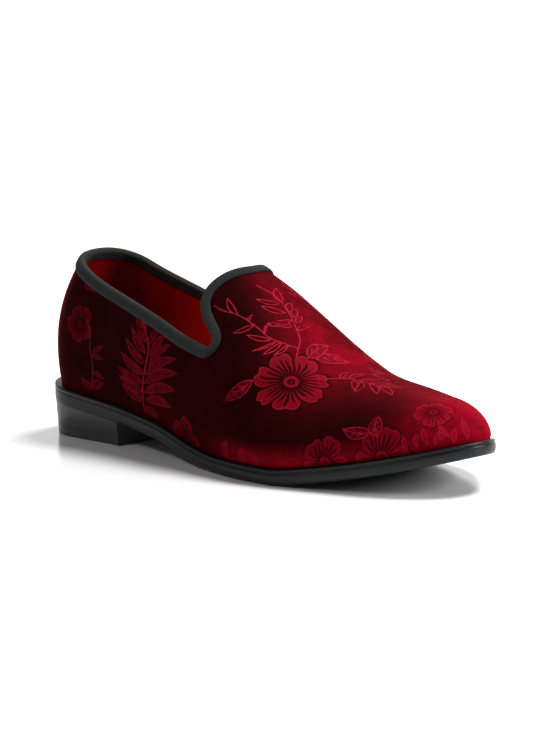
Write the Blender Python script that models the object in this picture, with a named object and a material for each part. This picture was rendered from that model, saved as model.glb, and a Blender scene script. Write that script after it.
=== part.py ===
"""Velvet slipper loafer, a right shoe: upper, collar binding, insole, outsole, heel and top lift.

Metres. +X points to the toe, +Y to the medial side, +Z up; the floor is z = 0 and the
origin is under the middle of the sole. Distances along the shoe are measured from the heel.
"""
import math
from collections import namedtuple

import bmesh
import bpy
import numpy as np

COLLECTION = "velvet_slipper_loafer"

# Overall sizes
SHOE_LENGTH = 0.300
BALL_WIDTH = 0.102
INSTEP_HEIGHT = 0.085       # last above the sole, under the edge of the vamp
HEEL_HEIGHT = 0.0195        # under the sole, at the back
HEEL_LENGTH = 0.068
TOE_SPRING = 0.0187

# Thicknesses and widths of the pieces
SOLE_AT_HEEL = 0.0091
SOLE_AT_TOE = 0.0074
SOLE_MARGIN = 0.003         # sole edge outside the foot of the upper
UPPER_WALL = 0.002
INSOLE_THICKNESS = 0.0028
BINDING_THICKNESS = 0.0009
BINDING_DEPTH = 0.0048
BINDING_ROUND = 0.7          # how far its corners stand out, share of a square corner
LIFT_THICKNESS = 0.005

# Gaps between neighbours
CLEARANCE = 0.0003
INSOLE_EASE = 0.0009        # insole edge inside the upper, on top of the clearance

# The last's sections: edges as shares of half the ball width, height as a share of the instep,
# fullness as the power of the section's curve, where 2 is an ellipse
Section = namedtuple("Section", "along lateral medial height fullness")
SECTIONS = (
    Section(0.00, 0.610, 0.590, 1.220, 2.05),
    Section(0.10, 0.630, 0.625, 1.180, 2.05),
    Section(0.20, 0.625, 0.640, 1.145, 2.08),
    Section(0.30, 0.680, 0.620, 1.090, 2.18),
    Section(0.40, 0.775, 0.640, 1.034, 2.35),
    Section(0.50, 0.890, 0.745, 0.917, 2.42),
    Section(0.60, 0.985, 0.880, 0.692, 2.35),
    Section(0.70, 0.960, 0.990, 0.486, 2.22),
    Section(0.80, 0.775, 0.985, 0.382, 2.12),
    Section(0.90, 0.600, 0.850, 0.291, 2.05),
    Section(1.00, 0.420, 0.660, 0.243, 2.00),
)
RIDGE_SHIFT = 0.0135        # the instep's ridge leans to the medial side
RIDGE_RISE = (0.15, 0.50)   # shares of the length over which it starts
RIDGE_FALL = (0.65, 1.00)   # and ends
FOOT_TUCK = 0.070           # how far the wall turns in at its foot, share of the width
TUCK_HEIGHT = 0.22          # share of the section's height

# How the outline closes at its ends
HEEL_REACH = 0.031
HEEL_POWER = 2.4
TOE_REACH = 0.050
TOE_POWER = 2.10
TOE_BOX_REACH = 0.033       # over which the toe's height runs out
BACK_LEAN = 0.0118          # the back leans over the heel towards the opening
BACK_NARROW = 0.130         # and narrows upwards, share of the width
BACK_TUCK = 0.0013          # and turns in again at its foot
BACK_BELLY = 0.024          # height of the back's widest point
BACK_TOP = 0.060            # height where the lean and the narrowing are whole
BACK_FADE = 0.078

# Profile of the sole, as shares of the shoe's length
FLAT_START = 0.560          # the forefoot's flat spot
FLAT_END = 0.680
SEAT_FALL = 0.880           # fall of the heel seat, share of the heel's height
ARCH_TURN = 0.600           # where the arch turns down to the flat, share of the way to it
SPRING_POWER = 1.33

# The topline, from the back of the heel to the middle of the vamp's edge
TopPoint = namedtuple("TopPoint", "along angle")
BACK_ANGLE = 48.3           # degrees down from the ridge
VAMP_EDGE = 0.440
TOPLINE = (
    TopPoint(0.060, 49.2),
    TopPoint(0.120, 51.0),
    TopPoint(0.200, 53.2),
    TopPoint(0.300, 55.3),
    TopPoint(0.388, 56.8),
    TopPoint(0.448, 55.4),
    TopPoint(0.478, 53.6),
    TopPoint(0.482, 49.4),
    TopPoint(0.454, 46.4),
    TopPoint(0.422, 39.8),
    TopPoint(0.426, 25.8),
    TopPoint(0.436, 12.5),
)
NOTCH = 6                   # row of the topline's lowest point
TOPLINE_END = len(TOPLINE) + 1

# Side of the outsole: in from the edge as a share of its rounding, and down from the top as a
# share of the thickness
EDGE_DEPTH = 0.0016         # rounding at the sole's bottom edge
EdgeStep = namedtuple("EdgeStep", "inset down")
SOLE_EDGE = (
    EdgeStep(0.3125, 0.000),
    EdgeStep(0.0000, 0.050),
    EdgeStep(0.0000, 0.160),
    EdgeStep(0.4375, 0.200),
    EdgeStep(0.4375, 0.270),
    EdgeStep(0.1250, 0.310),
    EdgeStep(0.1250, 0.780),
    EdgeStep(0.3750, 0.930),
    EdgeStep(1.0000, 1.000),
)
TOE_UNDERCUT = 0.0006       # more inset at the bottom of the toe
TOE_UNDERCUT_START = 0.90
HEEL_INSET = 0.0003
HEEL_TAPER = 0.0008
EDGE_ROUND = 0.0005

# Facets
COLUMNS = 48                # from heel to toe, on each side
ROWS = 9                    # of the upper, below the binding
FINE_STEPS = 160            # of a column, before it is cut into rows
TOPLINE_STEPS = 600         # of the topline, before it is cut into columns
QUARTER_CROWDING = 1.35     # rows lie closer near the foot of the upper
TOE_CROWDING = 1.85
HEEL_STATIONS = 18
STEP = 1e-4                 # for slopes, in the chart's own units
TINY = 1e-9
SHARP_ANGLE = 35             # degrees, an edge that is shaded sharp
GAMMA = 2.2                 # from sRGB to linear colour

# Finishes: sRGB colour, roughness
VELVET = ((0.36, 0.03, 0.06), 0.80)
BINDING_TAPE = ((0.17, 0.18, 0.18), 0.75)
SOCK = ((0.33, 0.02, 0.03), 0.70)
SOLE_RUBBER = ((0.15, 0.15, 0.16), 0.42)
HEEL_RUBBER = ((0.17, 0.17, 0.18), 0.45)


def spline(xs, ys):
    """Natural cubic spline through the points, as a function."""
    xs = np.asarray(xs, float)
    ys = np.asarray(ys, float)
    gaps = np.diff(xs)
    slopes = np.diff(ys) / gaps
    matrix = np.eye(len(xs))
    right = np.zeros(len(xs))
    for i in range(1, len(xs) - 1):
        matrix[i, i - 1:i + 2] = gaps[i - 1], 2 * (gaps[i - 1] + gaps[i]), gaps[i]
        right[i] = 6 * (slopes[i] - slopes[i - 1])
    bends = np.linalg.solve(matrix, right)

    def value(x):
        x = np.asarray(x, float)
        i = np.clip(np.searchsorted(xs, x) - 1, 0, len(gaps) - 1)
        a = x - xs[i]
        b = xs[i + 1] - x
        cubic = (bends[i] * b ** 3 + bends[i + 1] * a ** 3) / (6 * gaps[i])
        start = (ys[i] / gaps[i] - bends[i] * gaps[i] / 6) * b
        end = (ys[i + 1] / gaps[i] - bends[i + 1] * gaps[i] / 6) * a
        return cubic + start + end

    return value


def column_of(rows, name):
    """Spline through one named column of a table of sections."""
    return spline([row.along for row in rows], [getattr(row, name) for row in rows])


def edge_column(name):
    """An edge column, with its widest place exactly half the ball width."""
    share = column_of(SECTIONS, name)
    widest = share(np.linspace(0, 1, 2001)).max()
    return lambda along: share(along) * BALL_WIDTH / 2 / widest


lateral_edge = edge_column("lateral")
medial_edge = edge_column("medial")
section_height = column_of(SECTIONS, "height")
section_fullness = column_of(SECTIONS, "fullness")


def ease(low, high, value):
    """Smooth step from 0 at low to 1 at high."""
    u = np.clip((value - low) / (high - low), 0, 1)
    return u * u * (3 - 2 * u)


def quarter_round(u, power):
    """1 at u = 0, falling to 0 at u = 1 along a superellipse."""
    return np.clip(1 - np.clip(u, 0, 1) ** power, 0, 1) ** (1 / power)


def outline(x, inset):
    """Middle and half-width of the sole's outline at x, drawn in by an inset."""
    along = (x - inset) / (SHOE_LENGTH - 2 * inset)
    lateral = lateral_edge(along)
    medial = medial_edge(along)
    heel = quarter_round((HEEL_REACH - x) / (HEEL_REACH - inset), HEEL_POWER)
    toe = quarter_round((x - SHOE_LENGTH + TOE_REACH) / (TOE_REACH - inset), TOE_POWER)
    half = ((lateral + medial) / 2 - inset) * heel * toe
    return (medial - lateral) / 2, half


def sole_bottom(x):
    """Height of the sole's underside: heel seat, arch, flat spot and toe spring."""
    u = np.clip(x / (FLAT_START * SHOE_LENGTH), 0, 1)
    rear = HEEL_HEIGHT * (1 - SEAT_FALL * u) * (1 - ease(ARCH_TURN, 1, u))
    run = np.clip((x / SHOE_LENGTH - FLAT_END) / (1 - FLAT_END), 0, 1)
    return rear + TOE_SPRING * run ** SPRING_POWER


def sole_top(x):
    """Height of the face that the upper and the insole stand on."""
    return sole_bottom(x) + SOLE_AT_HEEL + (SOLE_AT_TOE - SOLE_AT_HEEL) * x / SHOE_LENGTH


def back_fade(x):
    """1 at the back of the heel, fading out along the quarters."""
    return np.clip(1 - x / BACK_FADE, 0, 1) ** 2


def above_belly(x, height):
    """How far the back has come from its belly, 0, to its top, 1."""
    return back_fade(x) * (np.clip(height - BACK_BELLY, 0, None) / (BACK_TOP - BACK_BELLY)) ** 2


def back_shift(x, height):
    """The heel's back curve: forward at its top and at its foot, out at its belly."""
    below = np.clip(1 - height / BACK_BELLY, 0, 1)
    return BACK_LEAN * above_belly(x, height) + BACK_TUCK * back_fade(x) * below ** 2


def world(x, y, z):
    """Points of the shoe, moved so that the middle of its length is at the origin."""
    return np.stack(np.broadcast_arrays(x - SHOE_LENGTH / 2, y, z), -1)


def last_share(x):
    """Share of the last's length at x."""
    return (x - SOLE_MARGIN) / (SHOE_LENGTH - 2 * SOLE_MARGIN)


def last_surface(x, across):
    """The last's surface: across runs from -1, the lateral edge, to 1, the medial edge."""
    along = last_share(x)
    power = section_fullness(along)
    rise = np.clip(1 - np.abs(across) ** power, 0, 1) ** (1 / power)
    middle, foot = outline(x, SOLE_MARGIN)
    box = quarter_round((x - SHOE_LENGTH + SOLE_MARGIN + TOE_BOX_REACH) / TOE_BOX_REACH, 2)
    height = INSTEP_HEIGHT * section_height(along) * box * rise
    tuck = 1 - FOOT_TUCK * np.clip(1 - rise / TUCK_HEIGHT, 0, 1) ** 2
    ridge = RIDGE_SHIFT * ease(*RIDGE_RISE, along) * (1 - ease(*RIDGE_FALL, along))
    narrow = 1 - BACK_NARROW * above_belly(x, height)
    y = middle + foot / (1 - FOOT_TUCK) * across * tuck * narrow + ridge * rise ** 2
    z = sole_top(x) + CLEARANCE + height
    return world(x + back_shift(x, height), y, z)


def to_turn(x):
    """Distance along the shoe as a turn round the heel, so that the topline runs smoothly there."""
    reach = HEEL_REACH - SOLE_MARGIN
    u = (x - SOLE_MARGIN) / reach
    return np.where(u < 1, np.arccos(np.clip(1 - u, -1, 1)), math.pi / 2 + u - 1)


def from_turn(turn):
    reach = HEEL_REACH - SOLE_MARGIN
    turn = np.abs(turn)
    return SOLE_MARGIN + reach * np.where(turn < math.pi / 2, 1 - np.cos(turn), 1 + turn - math.pi / 2)


def chart(turn, across):
    """The last's surface by turn along the shoe and share of the half-width."""
    return last_surface(from_turn(turn), across)


def topline():
    """Half of the topline as functions of a row number: turn along the shoe, and angle from the ridge."""
    span = SHOE_LENGTH - 2 * SOLE_MARGIN
    turns = [float(to_turn(SOLE_MARGIN + row.along * span)) for row in TOPLINE]
    angles = [row.angle for row in TOPLINE]
    edge = float(to_turn(SOLE_MARGIN + VAMP_EDGE * span))
    turns = [-turns[0], 0.0] + turns + [edge] + turns[:-3:-1]
    angles = [angles[0], BACK_ANGLE] + angles + [0.0, -angles[-1], -angles[-2]]
    numbers = np.arange(-1, len(turns) - 1)
    return spline(numbers, turns), spline(numbers, angles)


def across_of(angle, power):
    """Share of the half-width at an angle from the ridge."""
    sine = np.abs(np.sin(angle))
    cosine = np.abs(np.cos(angle))
    return sine / (sine ** power + cosine ** power) ** (1 / power)


def edge_point(side, number):
    """Turn and across of the topline at a row number."""
    turn_at, angle_at = topline()
    turn = turn_at(number)
    angle = np.maximum(np.radians(angle_at(number)), 0)
    return turn, side * across_of(angle, section_fullness(last_share(from_turn(turn))))


def spread(start, end, count):
    """Row numbers that cut a stretch of the topline into equal lengths."""
    numbers = np.linspace(start, end, TOPLINE_STEPS)
    points = chart(*edge_point(-1, numbers))
    steps = np.linalg.norm(np.diff(points, axis=0), axis=1)
    length = np.concatenate([[0], np.cumsum(steps)])
    return np.interp(np.linspace(0, length[-1], count + 1), length, numbers)


def away_from_opening(side, number):
    """Change of turn and across, per metre, square to the topline and down the wall."""
    turn, across = edge_point(side, number)
    by_turn = (chart(turn + STEP, across) - chart(turn, across)) / STEP
    by_across = (chart(turn, across + STEP) - chart(turn, across - STEP)) / (2 * STEP)
    outward = np.cross(by_turn, by_across)
    before = chart(*edge_point(side, max(number - STEP, 0)))
    after = chart(*edge_point(side, min(number + STEP, TOPLINE_END)))
    down = -side * np.cross(after - before, outward)
    down /= np.linalg.norm(down)
    return np.linalg.lstsq(np.stack([by_turn, by_across], -1), down, rcond=None)[0]


def foot_distances(tops):
    """Where each column stands on the sole: under its top in the quarter, fanned out in the vamp."""
    quarter = COLUMNS // 2
    number = np.arange(COLUMNS + 1)
    fan = np.clip((number - quarter) / (COLUMNS - quarter), 0, 1)
    notch = tops[quarter]
    toe = SHOE_LENGTH - SOLE_MARGIN
    return np.where(number <= quarter, tops, notch + (toe - notch) * np.sin(fan * math.pi / 2))


def column_rows(side, foot, number):
    """Points of one column, from the foot of the upper to the topline."""
    turn, across = edge_point(side, number)
    turn_rate, across_rate = away_from_opening(side, number)
    low_turn = turn + turn_rate * BINDING_DEPTH
    low_across = across + across_rate * BINDING_DEPTH
    share = 1 - np.cos(np.linspace(0, math.pi / 2, FINE_STEPS))
    if number <= NOTCH:
        turns = float(to_turn(foot)) * (1 - share) + low_turn * share
        line = chart(turns, side + (low_across - side) * share)
    else:
        low = from_turn(low_turn)
        x = foot + (low - foot) * share
        foot_middle, foot_half = outline(foot, SOLE_MARGIN)
        low_middle, low_half = outline(low, SOLE_MARGIN)
        foot_y = foot_middle + side * foot_half
        y = foot_y + (low_middle + low_half * low_across - foot_y) * share
        middle, half = outline(x, SOLE_MARGIN)
        across_line = (y - middle) / np.maximum(half, TINY)
        across_line[0] = side
        line = last_surface(x, np.clip(across_line, -1, 1))
    towards_toe = ease(NOTCH, TOPLINE_END - 1, number)
    crowding = QUARTER_CROWDING + (TOE_CROWDING - QUARTER_CROWDING) * towards_toe
    wall = resample(line, np.linspace(0, 1, ROWS + 1) ** crowding)
    half_way = chart(turn + turn_rate * BINDING_DEPTH / 2, across + across_rate * BINDING_DEPTH / 2)
    return np.concatenate([wall, [half_way, chart(turn, across)]])


def resample(line, shares):
    """Points at shares of a line's length."""
    steps = np.linalg.norm(np.diff(line, axis=0), axis=1)
    length = np.concatenate([[0], np.cumsum(steps)])
    at = length[-1] * shares
    return np.stack([np.interp(at, length, line[:, axis]) for axis in range(3)], -1)


def upper_grid():
    """Outer points and outward normals of the upper, by column round the shoe and row upwards."""
    quarter = COLUMNS // 2
    front = spread(NOTCH, TOPLINE_END, COLUMNS - quarter)
    numbers = np.concatenate([spread(0, NOTCH, quarter), front[1:]])
    feet = foot_distances(from_turn(edge_point(-1, numbers)[0]))
    grid = []
    for column in range(2 * COLUMNS):
        step = min(column, 2 * COLUMNS - column)
        side = -1 if column <= COLUMNS else 1
        grid.append(column_rows(side, feet[step], numbers[step]))
    grid = np.array(grid)
    along = np.roll(grid, -1, axis=0) - np.roll(grid, 1, axis=0)
    up = np.gradient(grid, axis=1)
    normals = np.cross(along, up)
    normals[:, 0, 2] = 0
    normals /= np.linalg.norm(normals, axis=2, keepdims=True)
    return grid, normals


def material(name, finish):
    colour, roughness = finish
    made = bpy.data.materials.new(name)
    made.use_nodes = True
    shader = made.node_tree.nodes["Principled BSDF"]
    linear = [channel ** GAMMA for channel in colour]
    shader.inputs["Base Color"].default_value = (*linear, 1)
    shader.inputs["Roughness"].default_value = roughness
    shader.inputs["Metallic"].default_value = 0
    return made


def place(name, verts, faces, finish):
    """One named object from points and faces, with its normals made consistent."""
    mesh = bpy.data.meshes.new(name)
    shape = bmesh.new()
    corners = [shape.verts.new(tuple(point)) for point in verts]
    for face in faces:
        shape.faces.new([corners[i] for i in face])
    bmesh.ops.triangulate(shape, faces=shape.faces)
    bmesh.ops.recalc_face_normals(shape, faces=shape.faces)
    shape.to_mesh(mesh)
    shape.free()
    mesh.shade_smooth()
    mesh.set_sharp_from_angle(angle=math.radians(SHARP_ANGLE))
    mesh.materials.append(material(name, finish))
    shoe = bpy.data.objects.new(name, mesh)
    bpy.data.collections[COLLECTION].objects.link(shoe)
    return shoe


def loop_faces(count, ring):
    """Quads round a closed loop of columns, each a closed ring of points."""
    faces = []
    for column in range(count):
        here = column * ring
        there = (column + 1) % count * ring
        for i in range(ring):
            j = (i + 1) % ring
            faces.append((here + i, there + i, there + j, here + j))
    return faces


def add_upper(grid, normals):
    inside = grid - UPPER_WALL * normals
    rings = np.concatenate([grid, inside[:, ::-1]], axis=1)
    count, ring = rings.shape[:2]
    place("upper", rings.reshape(-1, 3), loop_faces(count, ring), VELVET)


def add_binding(grid, normals):
    """A folded tape over the top edge: two legs and a rounded bridge."""
    top = grid[:, -1]
    low = grid[:, -3]
    out_top = normals[:, -1]
    out_low = normals[:, -3]
    up = top - grid[:, -2]
    up /= np.linalg.norm(up, axis=1, keepdims=True)
    wall = UPPER_WALL
    near = CLEARANCE
    far = CLEARANCE + BINDING_THICKNESS
    corner = BINDING_ROUND * far
    points = [
        low + near * out_low,
        top + near * out_top + near * up,
        top - (wall + near) * out_top + near * up,
        low - (wall + near) * out_low,
        low - (wall + far) * out_low,
        top - (wall + far) * out_top,
        top - (wall + corner) * out_top + corner * up,
        top - wall / 2 * out_top + far * up,
        top + corner * out_top + corner * up,
        top + far * out_top,
        low + far * out_low,
    ]
    rings = np.stack(points, axis=1)
    count, ring = rings.shape[:2]
    place("collar_binding", rings.reshape(-1, 3), loop_faces(count, ring), BINDING_TAPE)


def stations(start, end, count, round_end):
    """Distances along the shoe, crowded at the back and, where asked, at the toe."""
    turn = np.linspace(0, math.pi if round_end else math.pi / 2, count + 1)
    share = (1 - np.cos(turn)) / (2 if round_end else 1)
    return start + (end - start) * share


def ring_stations(xs):
    """Values of the stations at each point of a ring, out along one side and back along the other."""
    return np.concatenate([xs, xs[-2:0:-1]])


def edge_ring(xs, inset):
    """Ring of plan points of the sole's outline: lateral from back to front, then medial back again."""
    middle, half = outline(xs, 0.0)
    lateral = np.stack([xs, middle - half], -1)
    medial = np.stack([xs, middle + half], -1)
    ring = np.concatenate([lateral, medial[-2:0:-1]])
    along = np.roll(ring, -1, axis=0) - np.roll(ring, 1, axis=0)
    along /= np.linalg.norm(along, axis=1, keepdims=True)
    inward = np.stack([-along[:, 1], along[:, 0]], -1)
    return ring + inset[:, None] * inward


def ladder(first, count, flip):
    """Faces across a ring, from each lateral point to the medial point of the same station."""
    faces = []
    size = 2 * count
    for i in range(count):
        a = first + i
        b = first + i + 1
        c = first + (size - i - 1) % size
        d = first + (size - i) % size
        face = [corner for k, corner in enumerate((a, b, c, d)) if corner not in (a, b, c, d)[:k]]
        faces.append(face[::-1] if flip else face)
    return faces


def stack_rings(levels, count):
    """A closed body from rings of the same stations, the first and the last one filled."""
    size = len(levels[0])
    faces = ladder(0, count, False)
    for level in range(len(levels) - 1):
        for i in range(size):
            j = (i + 1) % size
            a = level * size
            b = a + size
            faces.append((a + i, a + j, b + j, b + i))
    faces += ladder((len(levels) - 1) * size, count, True)
    return np.concatenate(levels), faces


def add_outsole():
    xs = stations(0, SHOE_LENGTH, COLUMNS, True)
    at = ring_stations(xs)
    toe = ease(TOE_UNDERCUT_START, 1, at / SHOE_LENGTH)
    levels = []
    for step in SOLE_EDGE:
        ring = edge_ring(xs, EDGE_DEPTH * step.inset + TOE_UNDERCUT * toe * step.down ** 2)
        z = sole_top(at) + (sole_bottom(at) - sole_top(at)) * step.down
        levels.append(world(ring[:, 0], ring[:, 1], z))
    verts, faces = stack_rings(levels, COLUMNS)
    place("outsole", verts, faces, SOLE_RUBBER)


def add_insole():
    inset = SOLE_MARGIN + UPPER_WALL + CLEARANCE + INSOLE_EASE
    xs = stations(inset, SHOE_LENGTH - inset, COLUMNS, True)
    at = ring_stations(xs)
    middle, half = outline(xs, inset)
    ys = np.concatenate([middle - half, (middle + half)[-2:0:-1]])
    shift = back_shift(at, 0.0)
    bottom = sole_top(at) + CLEARANCE
    centre = ring_stations(middle)
    rounded = EDGE_ROUND / np.maximum(np.abs(ys - centre), 4 * EDGE_ROUND)
    levels = []
    for height, shrink in ((0, 0), (INSOLE_THICKNESS - EDGE_ROUND, 0), (INSOLE_THICKNESS, rounded)):
        levels.append(world(at + shift, centre + (ys - centre) * (1 - shrink), bottom + height))
    verts, faces = stack_rings(levels, COLUMNS)
    place("insole", verts, faces, SOCK)


def heel_level(xs, inset, height):
    """One ring of the heel: the sole's outline cut straight across at the breast."""
    middle, half = outline(xs, 0.0)
    half = np.maximum(half - inset, 0)
    size = len(xs) - 1
    lateral = np.stack([xs, middle - half], -1)
    medial = np.stack([xs, middle + half], -1)
    ring = np.concatenate([lateral, medial[size:0:-1]])
    back = np.clip(1 - ring[:, 0] / HEEL_REACH, 0, 1)
    ring[:, 0] += inset * back
    at = np.concatenate([xs, xs[size:0:-1]])
    z = height(at) if callable(height) else np.full(len(at), height)
    return world(ring[:, 0], ring[:, 1], z)


def add_heel_piece(name, levels, finish):
    """A closed body of heel rings: both ends are filled across from side to side."""
    size = len(levels[0])
    count = (size - 1) // 2
    faces = []
    for first, flip in ((0, False), ((len(levels) - 1) * size, True)):
        for i in range(count):
            quad = (first + i, first + i + 1, first + size - 1 - i, first + (size - i) % size)
            face = [corner for k, corner in enumerate(quad) if corner not in quad[:k]]
            faces.append(face[::-1] if flip else face)
    for level in range(len(levels) - 1):
        a = level * size
        b = a + size
        for i in range(size):
            j = (i + 1) % size
            faces.append((a + i, a + j, b + j, b + i))
    place(name, np.concatenate(levels), faces, finish)


def add_heel():
    xs = stations(0, HEEL_LENGTH, HEEL_STATIONS, False)
    foot = LIFT_THICKNESS + CLEARANCE
    add_heel_piece("heel", [
        heel_level(xs, HEEL_INSET, lambda at: sole_bottom(at) - CLEARANCE),
        heel_level(xs, HEEL_INSET + HEEL_TAPER, foot + EDGE_ROUND),
        heel_level(xs, HEEL_INSET + HEEL_TAPER + EDGE_ROUND, foot),
    ], HEEL_RUBBER)
    add_heel_piece("heel_top_lift", [
        heel_level(xs, HEEL_INSET + HEEL_TAPER + EDGE_ROUND, LIFT_THICKNESS),
        heel_level(xs, HEEL_INSET + HEEL_TAPER, LIFT_THICKNESS - EDGE_ROUND),
        heel_level(xs, HEEL_INSET + HEEL_TAPER, EDGE_ROUND),
        heel_level(xs, HEEL_INSET + HEEL_TAPER + EDGE_ROUND, 0.0),
    ], HEEL_RUBBER)


def main():
    for old in list(bpy.data.objects):
        bpy.data.objects.remove(old, do_unlink=True)
    bpy.context.scene.collection.children.link(bpy.data.collections.new(COLLECTION))
    grid, normals = upper_grid()
    add_upper(grid, normals)
    add_binding(grid, normals)
    add_insole()
    add_outsole()
    add_heel()


main()
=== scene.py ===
import math

import bpy
import numpy as np
from mathutils import Matrix, Vector

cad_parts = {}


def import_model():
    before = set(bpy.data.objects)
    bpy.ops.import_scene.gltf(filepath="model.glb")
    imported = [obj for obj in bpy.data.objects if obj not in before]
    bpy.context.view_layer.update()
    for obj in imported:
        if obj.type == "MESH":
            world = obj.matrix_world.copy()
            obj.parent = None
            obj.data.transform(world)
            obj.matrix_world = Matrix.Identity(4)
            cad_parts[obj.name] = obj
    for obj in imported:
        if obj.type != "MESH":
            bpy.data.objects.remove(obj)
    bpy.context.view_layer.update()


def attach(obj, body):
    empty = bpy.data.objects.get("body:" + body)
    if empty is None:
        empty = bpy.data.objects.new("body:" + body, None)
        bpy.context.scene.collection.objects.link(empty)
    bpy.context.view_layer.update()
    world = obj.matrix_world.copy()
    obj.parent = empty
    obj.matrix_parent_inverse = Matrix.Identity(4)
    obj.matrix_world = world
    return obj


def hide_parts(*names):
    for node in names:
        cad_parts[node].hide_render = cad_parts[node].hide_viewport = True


# Velvet slipper loafer, right shoe. Metres, +X to the toe, +Y medial, +Z up.
# Distances called x run from the back of the heel; millimetres where a name ends in Mm.

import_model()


# The last, the same curves as the solids
last = {
    "length": 0.300,
    "ballWidth": 0.102,
    "instepHeight": 0.085,
    "heelHeight": 0.0195,
    "toeSpring": 0.0187,
    "soleAtHeel": 0.0091,
    "soleAtToe": 0.0074,
    "soleMargin": 0.003,
    "clearance": 0.0003,
    "wall": 0.002,
    "along": (0.00, 0.10, 0.20, 0.30, 0.40, 0.50, 0.60, 0.70, 0.80, 0.90, 1.00),
    "lateral": (0.610, 0.630, 0.625, 0.680, 0.775, 0.890, 0.985, 0.960, 0.775, 0.600, 0.420),
    "medial": (0.590, 0.625, 0.640, 0.620, 0.640, 0.745, 0.880, 0.990, 0.985, 0.850, 0.660),
    "height": (1.220, 1.180, 1.145, 1.090, 1.034, 0.917, 0.692, 0.486, 0.382, 0.291, 0.243),
    "fullness": (2.05, 2.05, 2.08, 2.18, 2.35, 2.42, 2.35, 2.22, 2.12, 2.05, 2.00),
    "ridgeShift": 0.0135,
    "footTuck": 0.070,
    "tuckHeight": 0.22,
    "heelReach": 0.031,
    "heelPower": 2.4,
    "toeReach": 0.050,
    "toePower": 2.10,
    "toeBoxReach": 0.033,
    "backLean": 0.0118,
    "backNarrow": 0.130,
    "backTuck": 0.0013,
    "backBelly": 0.024,
    "backTop": 0.060,
    "backFade": 0.078,
    "flatStart": 0.560,
    "flatEnd": 0.680,
    "seatFall": 0.880,
    "archTurn": 0.600,
    "springPower": 1.33,
}
topEdge = {
    "along": (0.060, 0.120, 0.200, 0.300, 0.388, 0.448, 0.478, 0.482, 0.454, 0.422, 0.426, 0.436),
    "angle": (49.2, 51.0, 53.2, 55.3, 56.8, 55.4, 53.6, 49.4, 46.4, 39.8, 25.8, 12.5),
    "backAngle": 48.3,
    "vampEdge": 0.440,
    "notch": 6,
    "tapeDepth": 0.0048,
    "tapeThickness": 0.0009,
}
endNumber = len(topEdge["along"]) + 1


def spline(xs, ys):
    xs = np.asarray(xs, float)
    ys = np.asarray(ys, float)
    gaps = np.diff(xs)
    slopes = np.diff(ys) / gaps
    matrix = np.eye(len(xs))
    right = np.zeros(len(xs))
    for i in range(1, len(xs) - 1):
        matrix[i, i - 1:i + 2] = gaps[i - 1], 2 * (gaps[i - 1] + gaps[i]), gaps[i]
        right[i] = 6 * (slopes[i] - slopes[i - 1])
    bends = np.linalg.solve(matrix, right)

    def value(x):
        x = np.asarray(x, float)
        i = np.clip(np.searchsorted(xs, x) - 1, 0, len(gaps) - 1)
        a = x - xs[i]
        b = xs[i + 1] - x
        cubic = (bends[i] * b ** 3 + bends[i + 1] * a ** 3) / (6 * gaps[i])
        start = (ys[i] / gaps[i] - bends[i] * gaps[i] / 6) * b
        end = (ys[i + 1] / gaps[i] - bends[i + 1] * gaps[i] / 6) * a
        return cubic + start + end

    return value


def edgeCurve(name):
    share = spline(last["along"], last[name])
    widest = share(np.linspace(0, 1, 2001)).max()
    return lambda along: share(along) * last["ballWidth"] / 2 / widest


lateralEdge = edgeCurve("lateral")
medialEdge = edgeCurve("medial")
sectionHeight = spline(last["along"], last["height"])
fullness = spline(last["along"], last["fullness"])


def ease(low, high, value):
    u = np.clip((value - low) / (high - low), 0, 1)
    return u * u * (3 - 2 * u)


def quarterRound(u, power):
    return np.clip(1 - np.clip(u, 0, 1) ** power, 0, 1) ** (1 / power)


def outline(x, inset):
    along = (x - inset) / (last["length"] - 2 * inset)
    lateral = lateralEdge(along)
    medial = medialEdge(along)
    heel = quarterRound((last["heelReach"] - x) / (last["heelReach"] - inset), last["heelPower"])
    beyond = x - last["length"] + last["toeReach"]
    toe = quarterRound(beyond / (last["toeReach"] - inset), last["toePower"])
    return (medial - lateral) / 2, ((lateral + medial) / 2 - inset) * heel * toe


def soleBottom(x):
    u = np.clip(x / (last["flatStart"] * last["length"]), 0, 1)
    rear = last["heelHeight"] * (1 - last["seatFall"] * u) * (1 - ease(last["archTurn"], 1, u))
    run = np.clip((x / last["length"] - last["flatEnd"]) / (1 - last["flatEnd"]), 0, 1)
    return rear + last["toeSpring"] * run ** last["springPower"]


def soleTop(x):
    thinning = last["soleAtToe"] - last["soleAtHeel"]
    return soleBottom(x) + last["soleAtHeel"] + thinning * x / last["length"]


def backFade(x):
    return np.clip(1 - x / last["backFade"], 0, 1) ** 2


def aboveBelly(x, height):
    climb = np.clip(height - last["backBelly"], 0, None) / (last["backTop"] - last["backBelly"])
    return backFade(x) * climb ** 2


def backShift(x, height):
    below = np.clip(1 - height / last["backBelly"], 0, 1)
    return last["backLean"] * aboveBelly(x, height) + last["backTuck"] * backFade(x) * below ** 2


def world(x, y, z):
    return np.stack(np.broadcast_arrays(x - last["length"] / 2, y, z), -1)


def lastShare(x):
    return (x - last["soleMargin"]) / (last["length"] - 2 * last["soleMargin"])


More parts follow.
